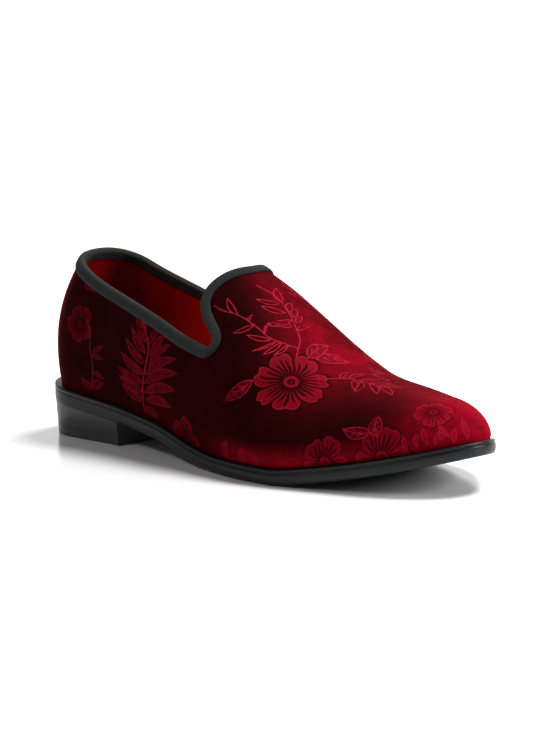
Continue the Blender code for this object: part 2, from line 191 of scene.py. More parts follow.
def lastSurface(x, across):
    along = lastShare(x)
    power = fullness(along)
    rise = np.clip(1 - np.abs(across) ** power, 0, 1) ** (1 / power)
    middle, foot = outline(x, last["soleMargin"])
    toeStart = last["length"] - last["soleMargin"] - last["toeBoxReach"]
    box = quarterRound((x - toeStart) / last["toeBoxReach"], 2)
    height = last["instepHeight"] * sectionHeight(along) * box * rise
    tuck = 1 - last["footTuck"] * np.clip(1 - rise / last["tuckHeight"], 0, 1) ** 2
    ridge = last["ridgeShift"] * ease(0.15, 0.5, along) * (1 - ease(0.65, 1, along))
    narrow = 1 - last["backNarrow"] * aboveBelly(x, height)
    y = middle + foot / (1 - last["footTuck"]) * across * tuck * narrow + ridge * rise ** 2
    return world(x + backShift(x, height), y, soleTop(x) + last["clearance"] + height)


def toTurn(x):
    u = (x - last["soleMargin"]) / (last["heelReach"] - last["soleMargin"])
    return np.where(u < 1, np.arccos(np.clip(1 - u, -1, 1)), math.pi / 2 + u - 1)


def fromTurn(turn):
    turn = np.abs(turn)
    share = np.where(turn < math.pi / 2, 1 - np.cos(turn), 1 + turn - math.pi / 2)
    return last["soleMargin"] + (last["heelReach"] - last["soleMargin"]) * share


def chart(turn, across):
    return lastSurface(fromTurn(turn), across)


def makeTopline():
    span = last["length"] - 2 * last["soleMargin"]
    turns = [float(toTurn(last["soleMargin"] + along * span)) for along in topEdge["along"]]
    angles = list(topEdge["angle"])
    edge = float(toTurn(last["soleMargin"] + topEdge["vampEdge"] * span))
    turns = [-turns[0], 0.0] + turns + [edge] + turns[:-3:-1]
    angles = [angles[0], topEdge["backAngle"]] + angles + [0.0, -angles[-1], -angles[-2]]
    numbers = np.arange(-1, len(turns) - 1)
    return spline(numbers, turns), spline(numbers, angles)


turnAt, angleAt = makeTopline()


def acrossOf(angle, power):
    sine = np.abs(np.sin(angle))
    cosine = np.abs(np.cos(angle))
    return sine / (sine ** power + cosine ** power) ** (1 / power)


def edgePoint(side, number):
    turn = turnAt(number)
    angle = np.maximum(np.radians(angleAt(number)), 0)
    return turn, side * acrossOf(angle, fullness(lastShare(fromTurn(turn))))


def lengthsOf(line):
    steps = np.linalg.norm(np.diff(line, axis=0), axis=1)
    return np.concatenate([[0], np.cumsum(steps)])


def evenNumbers(start, end, count):
    numbers = np.linspace(start, end, 1200)
    length = lengthsOf(chart(*edgePoint(-1, numbers)))
    return np.interp(np.linspace(0, length[-1], count + 1), length, numbers)


def awayFromOpening(side, number):
    step = 1e-4
    turn, across = edgePoint(side, number)
    byTurn = (chart(turn + step, across) - chart(turn, across)) / step
    byAcross = (chart(turn, across + step) - chart(turn, across - step)) / (2 * step)
    before = chart(*edgePoint(side, max(number - step, 0)))
    after = chart(*edgePoint(side, min(number + step, endNumber)))
    down = -side * np.cross(after - before, np.cross(byTurn, byAcross))
    down /= np.linalg.norm(down)
    return np.linalg.lstsq(np.stack([byTurn, byAcross], -1), down, rcond=None)[0]


def columnOf(side, foot, number, shares, tapeRows):
    # x and across of one column of the upper, from its foot to the topline
    turn, across = edgePoint(side, number)
    turnRate, acrossRate = awayFromOpening(side, number)
    depth = topEdge["tapeDepth"]
    lowTurn = turn + turnRate * depth
    lowAcross = across + acrossRate * depth
    fine = 1 - np.cos(np.linspace(0, math.pi / 2, 400))
    if number <= topEdge["notch"]:
        x = fromTurn(float(toTurn(foot)) * (1 - fine) + lowTurn * fine)
        acrossLine = side + (lowAcross - side) * fine
    else:
        low = fromTurn(lowTurn)
        x = foot + (low - foot) * fine
        footMiddle, footHalf = outline(foot, last["soleMargin"])
        lowMiddle, lowHalf = outline(low, last["soleMargin"])
        footY = footMiddle + side * footHalf
        y = footY + (lowMiddle + lowHalf * lowAcross - footY) * fine
        middle, half = outline(x, last["soleMargin"])
        acrossLine = np.clip((y - middle) / np.maximum(half, 1e-9), -1, 1)
        acrossLine[0] = side
    length = lengthsOf(lastSurface(x, acrossLine))
    at = length[-1] * shares
    rest = 1 - np.arange(1, tapeRows + 1) / tapeRows
    tapeX = fromTurn(turn + turnRate * depth * rest)
    tapeAcross = across + acrossRate * depth * rest
    return (np.concatenate([np.interp(at, length, x), tapeX]),
            np.concatenate([np.interp(at, length, acrossLine), tapeAcross]))


def surfaceNormals(xs, acrosses):
    step = 1e-5
    x = np.clip(xs, last["soleMargin"] + 1e-4, last["length"] - last["soleMargin"] - 1e-4)
    across = np.clip(acrosses, -0.97, 0.97)
    byX = lastSurface(x + step, across) - lastSurface(x - step, across)
    byAcross = lastSurface(x, across + step) - lastSurface(x, across - step)
    normals = np.cross(byX, byAcross)
    return normals / np.linalg.norm(normals, axis=-1, keepdims=True)


def upperGrid(columns, rows, tapeRows):
    # points, outward normals, x and across, by column round the shoe and row upwards
    quarter = int(columns * 0.42)
    notch = topEdge["notch"]
    numbers = np.concatenate([evenNumbers(0, notch, quarter),
                              evenNumbers(notch, endNumber, columns - quarter)[1:]])
    tops = fromTurn(edgePoint(-1, numbers)[0])
    index = np.arange(columns + 1)
    fan = np.clip((index - quarter) / (columns - quarter), 0, 1)
    toe = last["length"] - last["soleMargin"]
    fanned = tops[quarter] + (toe - tops[quarter]) * np.sin(fan * math.pi / 2)
    feet = np.where(index <= quarter, tops, fanned)
    xs = []
    acrosses = []
    for column in range(2 * columns):
        i = min(column, 2 * columns - column)
        side = -1 if column <= columns else 1
        crowding = 1.15 + 0.45 * float(ease(notch, endNumber - 1, numbers[i]))
        shares = np.linspace(0, 1, rows + 1) ** crowding
        x, across = columnOf(side, feet[i], numbers[i], shares, tapeRows)
        xs.append(x)
        acrosses.append(across)
    xs = np.array(xs)
    acrosses = np.array(acrosses)
    points = lastSurface(xs, acrosses)
    along = np.roll(points, -1, axis=0) - np.roll(points, 1, axis=0)
    normals = np.cross(along, np.gradient(points, axis=1))
    normals[:, 0, 2] = 0
    normals /= np.linalg.norm(normals, axis=2, keepdims=True)
    # the columns crowd at the notch, where the surface itself gives the normals
    exact = surfaceNormals(xs, acrosses)
    crowded = (np.einsum("ijk,ijk->ij", normals, exact) < 0.97) & (np.abs(acrosses) < 0.95)
    normals[crowded] = exact[crowded]
    return points, normals, xs, acrosses


# Mesh helpers
def addObject(name, data):
    made = bpy.data.objects.new(name, data)
    bpy.context.scene.collection.objects.link(made)
    return made


def makeObject(name, verts, faces, material):
    mesh = bpy.data.meshes.new(name)
    mesh.from_pydata(np.asarray(verts).tolist(), [], [list(map(int, face)) for face in faces])
    mesh.materials.append(material)
    mesh.shade_smooth()
    return addObject(name, mesh)


def ringFaces(count, ring):
    here = np.arange(count)[:, None] * ring
    there = (np.arange(count)[:, None] + 1) % count * ring
    i = np.arange(ring)[None, :]
    j = (i + 1) % ring
    quads = np.stack([here + i, there + i, there + j, here + j], -1)
    return quads.reshape(-1, 4)


def giveValues(piece, name, values):
    layer = piece.data.attributes.new(name, "FLOAT", "POINT")
    layer.data.foreach_set("value", np.asarray(values, np.float32).ravel())


def giveChart(piece, name, pairs):
    layer = piece.data.attributes.new(name, "FLOAT_VECTOR", "POINT")
    full = np.concatenate([pairs, np.zeros((len(pairs), 1))], axis=1)
    layer.data.foreach_set("vector", np.asarray(full, np.float32).ravel())


# Shader helpers. A signal is an output in a shader's tree, and sums are written with Python's signs.
class Signal:
    def __init__(self, tree, socket):
        self.tree = tree
        self.socket = socket

    def __add__(self, other):
        return calc("ADD", self, other)

    def __sub__(self, other):
        return calc("SUBTRACT", self, other)

    def __rsub__(self, other):
        return calc("SUBTRACT", other, self)

    def __mul__(self, other):
        return calc("MULTIPLY", self, other)

    def __truediv__(self, other):
        return calc("DIVIDE", self, other)

    def __rtruediv__(self, other):
        return calc("DIVIDE", other, self)

    def __pow__(self, other):
        return calc("POWER", self, other)

    def __abs__(self):
        return calc("ABSOLUTE", self)


def feed(value, target):
    if isinstance(value, Signal):
        value.tree.links.new(value.socket, target)
    else:
        target.default_value = value


def addNode(tree, kind, inputs):
    node = tree.nodes.new(kind)
    for label, value in inputs.items():
        feed(value, node.inputs[label])
    return node


def calc(operation, *values, clamp=False):
    tree = next(value.tree for value in values if isinstance(value, Signal))
    node = addNode(tree, "ShaderNodeMath", dict(enumerate(values)))
    node.operation = operation
    node.use_clamp = clamp
    return Signal(tree, node.outputs[0])


def ramp(value, low, high, toLow=0.0, toHigh=1.0):
    node = addNode(value.tree, "ShaderNodeMapRange", dict(enumerate((value, low, high, toLow, toHigh))))
    node.interpolation_type = "SMOOTHSTEP"
    return Signal(value.tree, node.outputs[0])


def wave(operation, value, pitch):
    return calc(operation, value * (2 * math.pi / pitch))


def halfWave(value):
    # from -1..1 to 0..1
    return calc("MULTIPLY_ADD", value, 0.5, 0.5)


def blendColour(factor, first, second):
    node = factor.tree.nodes.new("ShaderNodeMix")
    node.data_type = "RGBA"
    for number, value in ((0, factor), (6, first), (7, second)):
        feed(value, node.inputs[number])
    return Signal(factor.tree, node.outputs[2])


def noise(vector, scale, detail=2.0, roughness=0.5):
    inputs = {"Vector": vector, "Scale": scale, "Detail": detail, "Roughness": roughness}
    return Signal(vector.tree, addNode(vector.tree, "ShaderNodeTexNoise", inputs).outputs["Fac"])


def attribute(tree, name, output="Fac"):
    node = tree.nodes.new("ShaderNodeAttribute")
    node.attribute_name = name
    return Signal(tree, node.outputs[output])


def objectPoint(tree):
    return Signal(tree, tree.nodes.new("ShaderNodeTexCoord").outputs["Object"])


def stretched(vector, scale):
    node = addNode(vector.tree, "ShaderNodeMapping", {"Vector": vector, "Scale": scale})
    return Signal(vector.tree, node.outputs["Vector"])


def splitPoint(vector):
    node = addNode(vector.tree, "ShaderNodeSeparateXYZ", {0: vector})
    return [Signal(vector.tree, output) for output in node.outputs]


def bump(height, distance, strength, **normal):
    inputs = {"Strength": strength, "Distance": distance, "Height": height, **normal}
    return Signal(height.tree, addNode(height.tree, "ShaderNodeBump", inputs).outputs["Normal"])


def outputsOf(tree, node):
    return {output.name: Signal(tree, output) for output in node.outputs}


def newGroup(name, inputs, outputs):
    # an input is a Float with its default, or a Vector where that is None
    tree = bpy.data.node_groups.new(name, "ShaderNodeTree")
    for label, value in inputs.items():
        kind = "NodeSocketVector" if value is None else "NodeSocketFloat"
        made = tree.interface.new_socket(name=label, in_out="INPUT", socket_type=kind)
        if value is not None:
            made.default_value = value
    for label in outputs:
        tree.interface.new_socket(name=label, in_out="OUTPUT", socket_type="NodeSocketFloat")
    given = outputsOf(tree, tree.nodes.new("NodeGroupInput"))
    return tree, given, tree.nodes.new("NodeGroupOutput").inputs


def useGroup(tree, group, **values):
    node = tree.nodes.new("ShaderNodeGroup")
    node.node_tree = group
    for label, value in values.items():
        feed(value, node.inputs[label])
    return outputsOf(tree, node)


def newMaterial(name):
    made = bpy.data.materials.new(name)
    made.use_nodes = True
    return made, made.node_tree


def finishMaterial(made, values):
    shader = made.node_tree.nodes["Principled BSDF"]
    for label, value in values.items():
        feed(value, shader.inputs[label])
    return made


def napGroup():
    # soft clouds and short hairs of a pile
    tree, given, out = newGroup("napOfPile", {"Point": None, "CloudScale": 60.0, "HairScale": 1800.0},
                                ("Cloud", "Hair"))
    cloud = noise(given["Point"], given["CloudScale"], 3.0, 0.55)
    feed(ramp(cloud, 0.3, 0.7), out["Cloud"])
    feed(noise(given["Point"], given["HairScale"], 1.0, 0.5), out["Hair"])
    return tree


def threadGroup():
    # dots of a plain weave on a flat chart, one thread each way
    tree, given, out = newGroup("threadGrid", {"Chart": None, "PitchU": 0.001, "PitchV": 0.001},
                                ("Height",))
    u, v = splitPoint(given["Chart"])[:2]
    across = wave("SINE", u / given["PitchU"], 1.0)
    along = wave("SINE", v / given["PitchV"], 1.0)
    feed(halfWave(across * along), out["Height"])
    return tree


def grainGroup():
    # fine moulded grain and a few scuffs of rubber
    tree, given, out = newGroup("mouldedGrain", {"Point": None}, ("Grain", "Scuff"))
    feed(noise(given["Point"], 2600.0, 2.0, 0.6), out["Grain"])
    feed(ramp(noise(given["Point"], 140.0, 4.0, 0.7), 0.52, 0.75), out["Scuff"])
    return tree


napOfPile = napGroup()
threadGrid = threadGroup()
mouldedGrain = grainGroup()
print("curves and shader groups ready")


# Pressed pattern of the velvet, charted one by one: x in mm from the heel, angle in degrees down
# from the ridge, heading in degrees from the toe's direction towards the ridge
pattern = {
    "side": {"lateral": -1, "medial": 1},
    # side, x, angle, radius in mm, petals, turn, tone
    "blooms": (
        ("lateral", 195.5, 37.5, 20.0, 7, 106, 1.00),
        ("lateral", 277, 27, 10.4, 6, 47, 0.85),
        ("lateral", 235, 86, 13.0, 5, 60, 0.80),
        ("lateral", 264, 87, 15.0, 5, 54, 0.80),
        ("lateral", 36, 68, 10.5, 5, 50, 0.46),
        ("lateral", 40, 48, 13.0, 5, 200, 0.42),
        ("lateral", 132, 93, 15.0, 5, 80, 0.55),
        ("medial", 179, 50, 19.5, 7, 103, 1.00),
        ("medial", 238, 82, 13.5, 5, 60, 0.75),
        ("medial", 60, 66, 12.0, 6, 20, 0.45),
        ("medial", 122, 84, 14.0, 5, 75, 0.60),
    ),
    # side, half width in mm, tone, points of x and angle
    "stems": (
        ("lateral", 0.36, 0.95, ((187, 25), (182.5, 18), (179.5, 14.5), (174, 11.5), (167, 8),
         (160, 6), (155, 5.5), (150, 8), (145, 11.5))),
        ("lateral", 0.34, 0.90, ((184, 20.5), (178, 25), (171.5, 29), (166, 30), (161, 31),
         (156.5, 32), (150.5, 34), (144.5, 36.5), (140, 38), (135.5, 38.5))),
        ("lateral", 0.34, 0.80, ((206, 22), (209, 17), (213, 13), (218, 11), (224, 10), (231.5, 8.5),
         (239, 3))),
        ("lateral", 0.50, 0.62, ((92, 88), (92, 80), (94, 73), (95, 66), (90, 61), (87, 58))),
        ("lateral", 0.45, 0.34, ((46, 87), (48, 80), (46, 75), (45, 70), (42, 66))),
        ("medial", 0.36, 0.75, ((262, 74), (260, 62), (257, 50), (255, 38), (256, 26))),
        ("medial", 0.36, 0.70, ((216, 27), (216, 22), (214, 12), (213, 3))),
        ("medial", 0.36, 0.80, ((172, 33), (166, 27), (160, 22), (154, 18), (150, 13))),
        ("medial", 0.50, 0.45, ((84, 88), (86, 80), (85, 72), (82, 65), (84, 60))),
    ),
    # side, kind, tone, rows of x, angle, heading, length and width in mm
    "leaves": (
        ("lateral", "outline", 0.95, ((158.5, 5.5, 157, 11.4, 4.8), (164.5, 6, 136, 7.8, 3.8),
         (168, 6.5, 127, 7.6, 3.8), (172, 8.5, 118, 7.8, 2.8), (175.5, 12, 96, 9.4, 2.4),
         (159, 8.5, -130, 12.0, 3.0), (164.5, 10, -136, 12.6, 3.4), (169.5, 10.5, -100, 14.0, 3.8),
         (172.5, 12.5, -122, 9.0, 2.4))),
        ("lateral", "outline", 0.92, ((150, 34, 171, 12.8, 3.0), (161, 31, -104, 11.5, 2.6),
         (172.5, 29.5, -141, 12.5, 2.8), (175, 28, -99, 13.0, 1.2), (177, 26, -84, 12.2, 2.4),
         (180, 24, -80, 10.0, 1.8), (168, 29.5, 132, 7.5, 1.0), (157, 32, 118, 4.0, 1.2))),
        ("lateral", "solid", 1.00, ((190.5, 20, 101, 17.5, 8.0), (193, 16.5, 60, 17.5, 7.8),
         (179, 50, -110, 19.0, 7.8))),
        ("lateral", "outline", 0.82, ((209, 17, 104, 7.6, 2.4), (214.5, 13.5, -46, 11.0, 3.6),
         (219, 12, -66, 11.4, 3.8), (223, 10.5, -34, 15.0, 3.8), (229, 10, -22, 15.5, 3.6),
         (211.5, 13.5, 86, 10.8, 2.6), (217, 11.5, 64, 10.6, 2.6), (222, 10.5, 38, 12.6, 2.8),
         (228, 9.5, 28, 13.5, 2.8))),
        ("lateral", "solid", 0.70, ((255, 60.5, 172, 15.3, 7.2), (260, 64, 104, 14.7, 7.2))),
        ("lateral", "soft", 0.80, ((295.5, 60, 107, 12.0, 3.6), (288, 71, 92, 6.5, 2.6),
         (283, 76, 104, 8.0, 2.6), (290, 64, 130, 9.0, 2.6), (279, 80, 82, 7.0, 2.4),
         (292, 78, 74, 8.0, 2.6), (286, 80, 64, 7.0, 2.2), (275, 82, 96, 7.5, 2.4))),
        ("lateral", "soft", 0.56, ((170.5, 92, 76, 12.0, 5.2), (184.5, 92, 76, 11.0, 4.4),
         (196, 92, 96, 7.0, 3.6))),
        ("lateral", "soft", 0.62, ((94.5, 84, 6, 25.0, 4.8), (93.5, 81.5, 16, 29.5, 5.0),
         (93.5, 78.5, 24, 31.0, 5.2), (94.5, 75.5, 32, 28.0, 5.0), (97, 72, 46, 20.5, 4.6),
         (97.5, 68.5, 56, 16.0, 4.4), (96, 65, 66, 13.0, 4.0), (91, 84.5, 168, 19.0, 4.6),
         (91.5, 81.5, 172, 21.5, 4.8), (92, 78.5, 174, 23.0, 4.8), (92.5, 75.5, 166, 22.5, 4.8),
         (93, 72, 158, 21.0, 4.6), (93, 68.5, 150, 18.5, 4.4), (92.5, 65, 142, 15.5, 4.0),
         (91.5, 62, 128, 12.5, 3.8), (90, 60, 100, 12.5, 4.4), (92.5, 87, -10, 12.5, 4.6))),
        ("lateral", "soft", 0.42, ((48, 77, 4, 8.5, 2.2), (48.5, 76, 40, 9.0, 2.4),
         (49, 82, -12, 7.9, 2.6), (46, 87, 24, 11.0, 4.6), (46, 87, 160, 9.0, 4.2))),
        ("medial", "outline", 0.80, ((262, 69, 135, 21.6, 6.0), (254, 45, 127, 11.7, 5.6),
         (257, 48, 78, 13.7, 4.6), (259, 54, 24, 12.0, 3.6), (261, 64, 30, 12.8, 3.8),
         (258, 69, 153, 10.5, 3.6), (255, 38, 150, 10.0, 3.0), (256, 28, 96, 9.0, 2.8))),
        ("medial", "outline", 0.75, ((216, 26, -117, 10.0, 2.6), (216, 17, -69, 10.6, 2.6),
         (214, 4, 9, 11.3, 2.8), (214, 12, 160, 9.0, 2.6), (172, 33, -150, 12.0, 2.8),
         (166, 27, 150, 11.0, 2.8), (166, 27, -100, 11.0, 2.6), (160, 22, -120, 11.0, 2.4),
         (157, 20, 130, 10.0, 2.6), (152, 15, 175, 9.0, 2.8))),
        ("medial", "solid", 0.90, ((166, 62, -130, 17.5, 8.0), (190, 34, 62, 15.5, 8.0),
         (199, 52, 10, 15.0, 7.4))),
        ("medial", "soft", 0.52, ((85, 83, 10, 25.0, 6.4), (86, 79, 28, 26.0, 6.2),
         (86, 74, 40, 20.0, 5.6), (85, 83, 168, 18.0, 5.8), (85, 79, 160, 20.0, 5.8),
         (85, 73, 152, 18.0, 5.4), (83, 66, 140, 13.0, 4.6), (84, 62, 92, 12.0, 4.8))),
    ),
    "lineHalfMm": 0.31,
    "veins": 2,
    "far": 9.0,
    "channels": 5,
}


def surfaceFrame(side, xMm, angle):
    # a point of the velvet, and its directions to the toe, up to the ridge, and out
    x = np.float64(xMm / 1000)
    step = 1e-4

    def at(place, degrees):
        power = fullness(lastShare(place))
        turned = acrossOf(np.radians(degrees), power) * (1 if degrees >= 0 else -1)
        return lastSurface(place, side * turned)

    if angle > 90:
        base = surfaceFrame(side, xMm, 89.0)
        return (base[0] - base[2] * (angle - 90) * 0.001,) + base[1:]
    point = at(x, angle)
    toToe = at(x + step, angle) - point
    toToe /= np.linalg.norm(toToe)
    toRidge = at(x, angle - 0.5) - at(x, angle)
    outward = np.cross(toToe, toRidge) * -side
    outward /= np.linalg.norm(outward)
    up = np.cross(outward, toToe) * -side
    return point, toToe, up, outward


class PressedChart:
    # values of the pressed pattern at every point of the velvet

    def __init__(self, points, normals):
        self.points = points
        self.normals = normals
        count = len(points)
        far = pattern["far"]
        # stems and veins in the first channel, the edges of neighbouring leaves in the others
        channels = pattern["channels"]
        self.lineSide = np.full((channels, count), far)
        self.lineNear = np.full((channels, count), far)
        self.lineTone = np.zeros((channels, count))
        self.leaves = 0
        self.fill, self.bloomNear, self.bloomX, self.bloomY = np.full((4, count), far)
        self.fillTone, self.bloomTone = np.zeros((2, count))
        self.bloomPetals = np.full(count, 6.0)

    def near(self, centre, outward, reachMm):
        away = self.points - centre
        close = np.einsum("ij,ij->i", away, away) < (reachMm / 1000) ** 2
        return np.nonzero(close & (self.normals @ outward > -0.1))[0]

    def stroke(self, line, halfWidth, tone, outward, channel=0):
        # line: points in space; halfWidth in mm
        line = np.asarray(line)
        centre = line.mean(axis=0)
        reach = np.linalg.norm(line - centre, axis=1).max() * 1000 + 4
        chosen = self.near(centre, outward, reach)
        if not len(chosen):
            return
        place = self.points[chosen]
        nearest = np.full(len(chosen), pattern["far"])
        offset = np.full(len(chosen), pattern["far"])
        for start, end in zip(line[:-1], line[1:]):
            run = end - start
            length = np.linalg.norm(run)
            if length < 1e-7:
                continue
            share = np.clip((place - start) @ run / length ** 2, 0, 1)
            gap = place - start - share[:, None] * run
            flat = gap - np.einsum("ij,ij->i", gap, self.normals[chosen])[:, None] * self.normals[chosen]
            distance = np.linalg.norm(flat, axis=1) * 1000
            sign = np.sign(np.einsum("ij,ij->i", np.cross(run / length, flat), self.normals[chosen]))
            better = distance < nearest
            nearest[better] = distance[better]
            offset[better] = (distance * sign)[better]
        scaled = nearest / halfWidth
        better = scaled < self.lineNear[channel, chosen]
        hit = chosen[better]
        self.lineNear[channel, hit] = scaled[better]
        self.lineSide[channel, hit] = (offset / halfWidth)[better]
        self.lineTone[channel, hit] = tone

    def region(self, ring, tone, outward, base, ex, ey):
        # signed distance to a closed outline, in mm, on the plane of base, ex, ey
        centre = base + ring.mean(axis=0) @ np.stack([ex, ey]) / 1000
        reach = np.linalg.norm(ring - ring.mean(axis=0), axis=1).max() + 4
        chosen = self.near(centre, outward, reach)
        if not len(chosen):
            return
        away = self.points[chosen] - base
        flat = np.stack([away @ ex, away @ ey], -1) * 1000
        nearest = np.full(len(chosen), pattern["far"])
        inside = np.zeros(len(chosen), bool)
        for start, end in zip(ring, np.roll(ring, -1, axis=0)):
            run = end - start
            share = np.clip((flat - start) @ run / max(run @ run, 1e-9), 0, 1)
            nearest = np.minimum(nearest, np.linalg.norm(flat - start - share[:, None] * run, axis=1))
            crosses = (start[1] > flat[:, 1]) != (end[1] > flat[:, 1])
            rise = end[1] - start[1] if abs(end[1] - start[1]) > 1e-9 else 1e-9
            inside ^= crosses & (flat[:, 0] < start[0] + (flat[:, 1] - start[1]) / rise * run[0])
        signed = np.where(inside, -nearest, nearest)
        better = signed < self.fill[chosen]
        self.fill[chosen[better]] = signed[better]
        self.fillTone[chosen[better]] = tone

    def bloom(self, side, xMm, angle, radius, petals, turn, tone):
        base, toToe, up, outward = surfaceFrame(side, xMm, angle)
        chosen = self.near(base, outward, radius * 1.6)
        away = (self.points[chosen] - base) * 1000 / radius
        distance = np.linalg.norm(away, axis=1)
        across = away @ toToe
        rise = away @ up
        spread = distance / np.maximum(np.hypot(across, rise), 1e-6)
        across = across * spread
        rise = rise * spread
        better = distance < self.bloomNear[chosen]
        hit = chosen[better]
        turned = math.radians(turn)
        self.bloomNear[hit] = distance[better]
        self.bloomX[hit] = (across * math.cos(turned) + rise * math.sin(turned))[better]
        self.bloomY[hit] = (rise * math.cos(turned) - across * math.sin(turned))[better]
        self.bloomPetals[hit] = petals
        self.bloomTone[hit] = tone

    def leaf(self, side, kind, tone, xMm, angle, heading, length, width):
        base, toToe, up, outward = surfaceFrame(side, xMm, angle)
        ahead = math.cos(math.radians(heading)) * toToe + math.sin(math.radians(heading)) * up
        aside = np.cross(outward, ahead)
        share = np.linspace(0, 1, 11)
        bend = 0.07 * length * np.sin(math.pi * share)
        half = width / 2 * np.sin(math.pi * share ** 0.85) ** 0.8

        def put(along, off):
            return base + (along[:, None] * ahead + off[:, None] * aside) / 1000

        line = pattern["lineHalfMm"]
        if kind == "soft":
            line *= 1.2
        strong = {"outline": 1.0, "solid": 0.9, "soft": 0.42}[kind]
        channel = 1 + self.leaves % 2 * 2
        self.leaves += 1
        self.stroke(put(share * length, bend + half), line, tone * strong, outward, channel)
        self.stroke(put(share * length, bend - half), line, tone * strong, outward, channel + 1)
        if kind != "outline":
            ring = np.concatenate([np.stack([share * length, bend + half], -1),
                                   np.stack([share * length, bend - half], -1)[-2:0:-1]])
            self.region(ring, tone * (0.55 if kind == "solid" else 1.0), outward, base, ahead, aside)
        if kind == "solid":
            self.stroke(put(share * length, bend), line * 0.9, tone * 0.9, outward)
            for vein in range(pattern["veins"]):
                start = 0.24 + 0.27 * vein
                run = np.linspace(0, 1, 4)
                for way in (-1, 1):
                    self.stroke(put(length * (start + 0.17 * run), bend[4] + way * run * width * 0.33),
                                line * 0.7, tone * 0.75, outward)


def pressPattern(points, normals):
    chartOf = PressedChart(points, normals)
    sides = pattern["side"]
    for side, *rest in pattern["blooms"]:
        chartOf.bloom(sides[side], *rest)
    for side, half, tone, places in pattern["stems"]:
        ends = [surfaceFrame(sides[side], *place) for place in places]
        line = np.array([end[0] for end in ends])
        numbers = np.arange(len(line))
        fine = np.linspace(0, len(line) - 1, 6 * len(line))
        smoothLine = np.stack([spline(numbers, line[:, axis])(fine) for axis in range(3)], -1)
        chartOf.stroke(smoothLine, half, tone, np.mean([end[3] for end in ends], axis=0))
    for side, kind, tone, rows in pattern["leaves"]:
        for row in rows:
            chartOf.leaf(sides[side], kind, tone, *row)
    return chartOf


def clothChart(xs, acrosses):
    # flat chart of the cloth in mm: along the ridge, and round from it
    places = np.linspace(last["soleMargin"] + 1e-5, last["length"] - last["soleMargin"] - 1e-5, 500)
    ridge = lastSurface(places, 0.0)
    alongRidge = lengthsOf(ridge)
    shares = np.sin(np.linspace(0, math.pi / 2, 120))
    table = {}
    for side in (-1, 1):
        sections = lastSurface(places[:, None], side * shares[None, :])
        steps = np.linalg.norm(np.diff(sections, axis=1), axis=2)
        table[side] = np.concatenate([np.zeros((len(places), 1)), np.cumsum(steps, axis=1)], axis=1)
    u = np.interp(xs, places, alongRidge)
    i = np.clip((xs - places[0]) / (places[1] - places[0]), 0, len(places) - 1.001)
    j = np.arcsin(np.clip(np.abs(acrosses), 0, 1)) / (math.pi / 2) * (len(shares) - 1.001)
    i0 = i.astype(int)
    j0 = j.astype(int)
    fi = i - i0
    fj = j - j0
    v = np.zeros_like(u)
    for side in (-1, 1):
        t = table[side]
        girth = ((t[i0, j0] * (1 - fi) + t[i0 + 1, j0] * fi) * (1 - fj)
                 + (t[i0, j0 + 1] * (1 - fi) + t[i0 + 1, j0 + 1] * fi) * fj)
        v = np.where(np.sign(acrosses) == side, side * girth, v)
    return np.stack([u, v], -1) * 1000


# Velvet
velvet = {
    "columns": 300,
    "rows": 132,
    "innerRows": 22,
    "thickness": 0.0012,
    "ground": (0.0095, 0.0001, 0.0003, 1),
    "groundHigh": (0.0210, 0.0001, 0.0005, 1),
    # painted light and sheen: the colour the pile is painted where it faces the light
    "paintedShine": (0.230, 0.0003, 0.0085, 1),
    "pressed": (0.205, 0.0008, 0.0085, 1),
    # painted light and sheen: the same for the pressed parts
    "pressedPaintedShine": (0.300, 0.0016, 0.0170, 1),
    "line": (0.420, 0.0130, 0.0340, 1),
    # where the painted light starts and ends, by how far the cloth turns up and forward
    "paintedShineFrom": 0.56,
    "paintedShineTo": 1.10,
    "gap": (0.012, 0.0001, 0.0004, 1),
    "roughness": 0.80,
    "sheen": 0.85,
    "sheenRoughness": 0.26,
    "sheenTint": (0.72, 0.0008, 0.022, 1),
    "threadMm": 1.05,
}


def bloomGroup():
    # a pressed flower in polar form: petals, gaps, dark rays, ring and eye
    inputs = {"X": 0.0, "Y": 0.0, "Near": 9.0, "Petals": 6.0, "Wobble": 0.0, "Warp": 0.0}
    tree, given, out = newGroup("pressedBloom", inputs, ("Mask", "Rim", "Dark"))
    x = given["X"]
    y = given["Y"]
    petals = given["Petals"]
    wobble = given["Wobble"]
    radius = calc("SQRT", x * x + y * y) + wobble * 0.05
    angle = calc("ARCTAN2", y, x) + given["Warp"] * 0.55
    inPetal = calc("FRACT", angle * (petals / (2 * math.pi)) + 50.5) - 0.5
    fromMiddle = abs(inPetal * 2.0)
    lobe = calc("SQRT", calc("SUBTRACT", 1.0, fromMiddle ** 2.8, clamp=True))
    dent = ramp(fromMiddle, 0.0, 0.34, 0.075, 0.0)
    drift = calc("SINE", calc("MULTIPLY_ADD", angle, 3.0, 0.6)) * 0.030
    toEdge = calc("MULTIPLY_ADD", lobe, 0.46, 0.53) - (dent - drift) - radius
    toGap = (1.0 - fromMiddle) * (math.pi / petals) * radius
    rays = halfWave(wave("COSINE", inPetal, 0.25)) ** 0.75
    rayReach = calc("MULTIPLY_ADD", wave("COSINE", inPetal, 1.0), 0.10, 0.46) + wobble * 0.5
    dark = ramp(rays - (radius - 0.27) / rayReach, -0.06, 0.08)
    petal = ramp(toEdge, -0.012, 0.022) * ramp(toGap, 0.014, 0.048)
    petal = petal * ramp(radius, 0.27, 0.32) * (1.0 - dark)
    rim = ramp(toEdge, 0.030, 0.060, 1.0, 0.0) * petal
    ring = ramp(radius, 0.095, 0.130) * ramp(radius, 0.180, 0.215, 1.0, 0.0)
    eye = ramp(radius, 0.03, 0.06, 0.35, 0.0)
    guard = ramp(given["Near"], 1.10, 1.20, 1.0, 0.0)
    mask = calc("ADD", petal + ring, eye, clamp=True) * guard
    feed(rim * guard, out["Rim"])
    feed(mask, out["Mask"])
    feed(ramp(toEdge, -0.16, -0.01) * guard * (1.0 - mask), out["Dark"])
    return tree


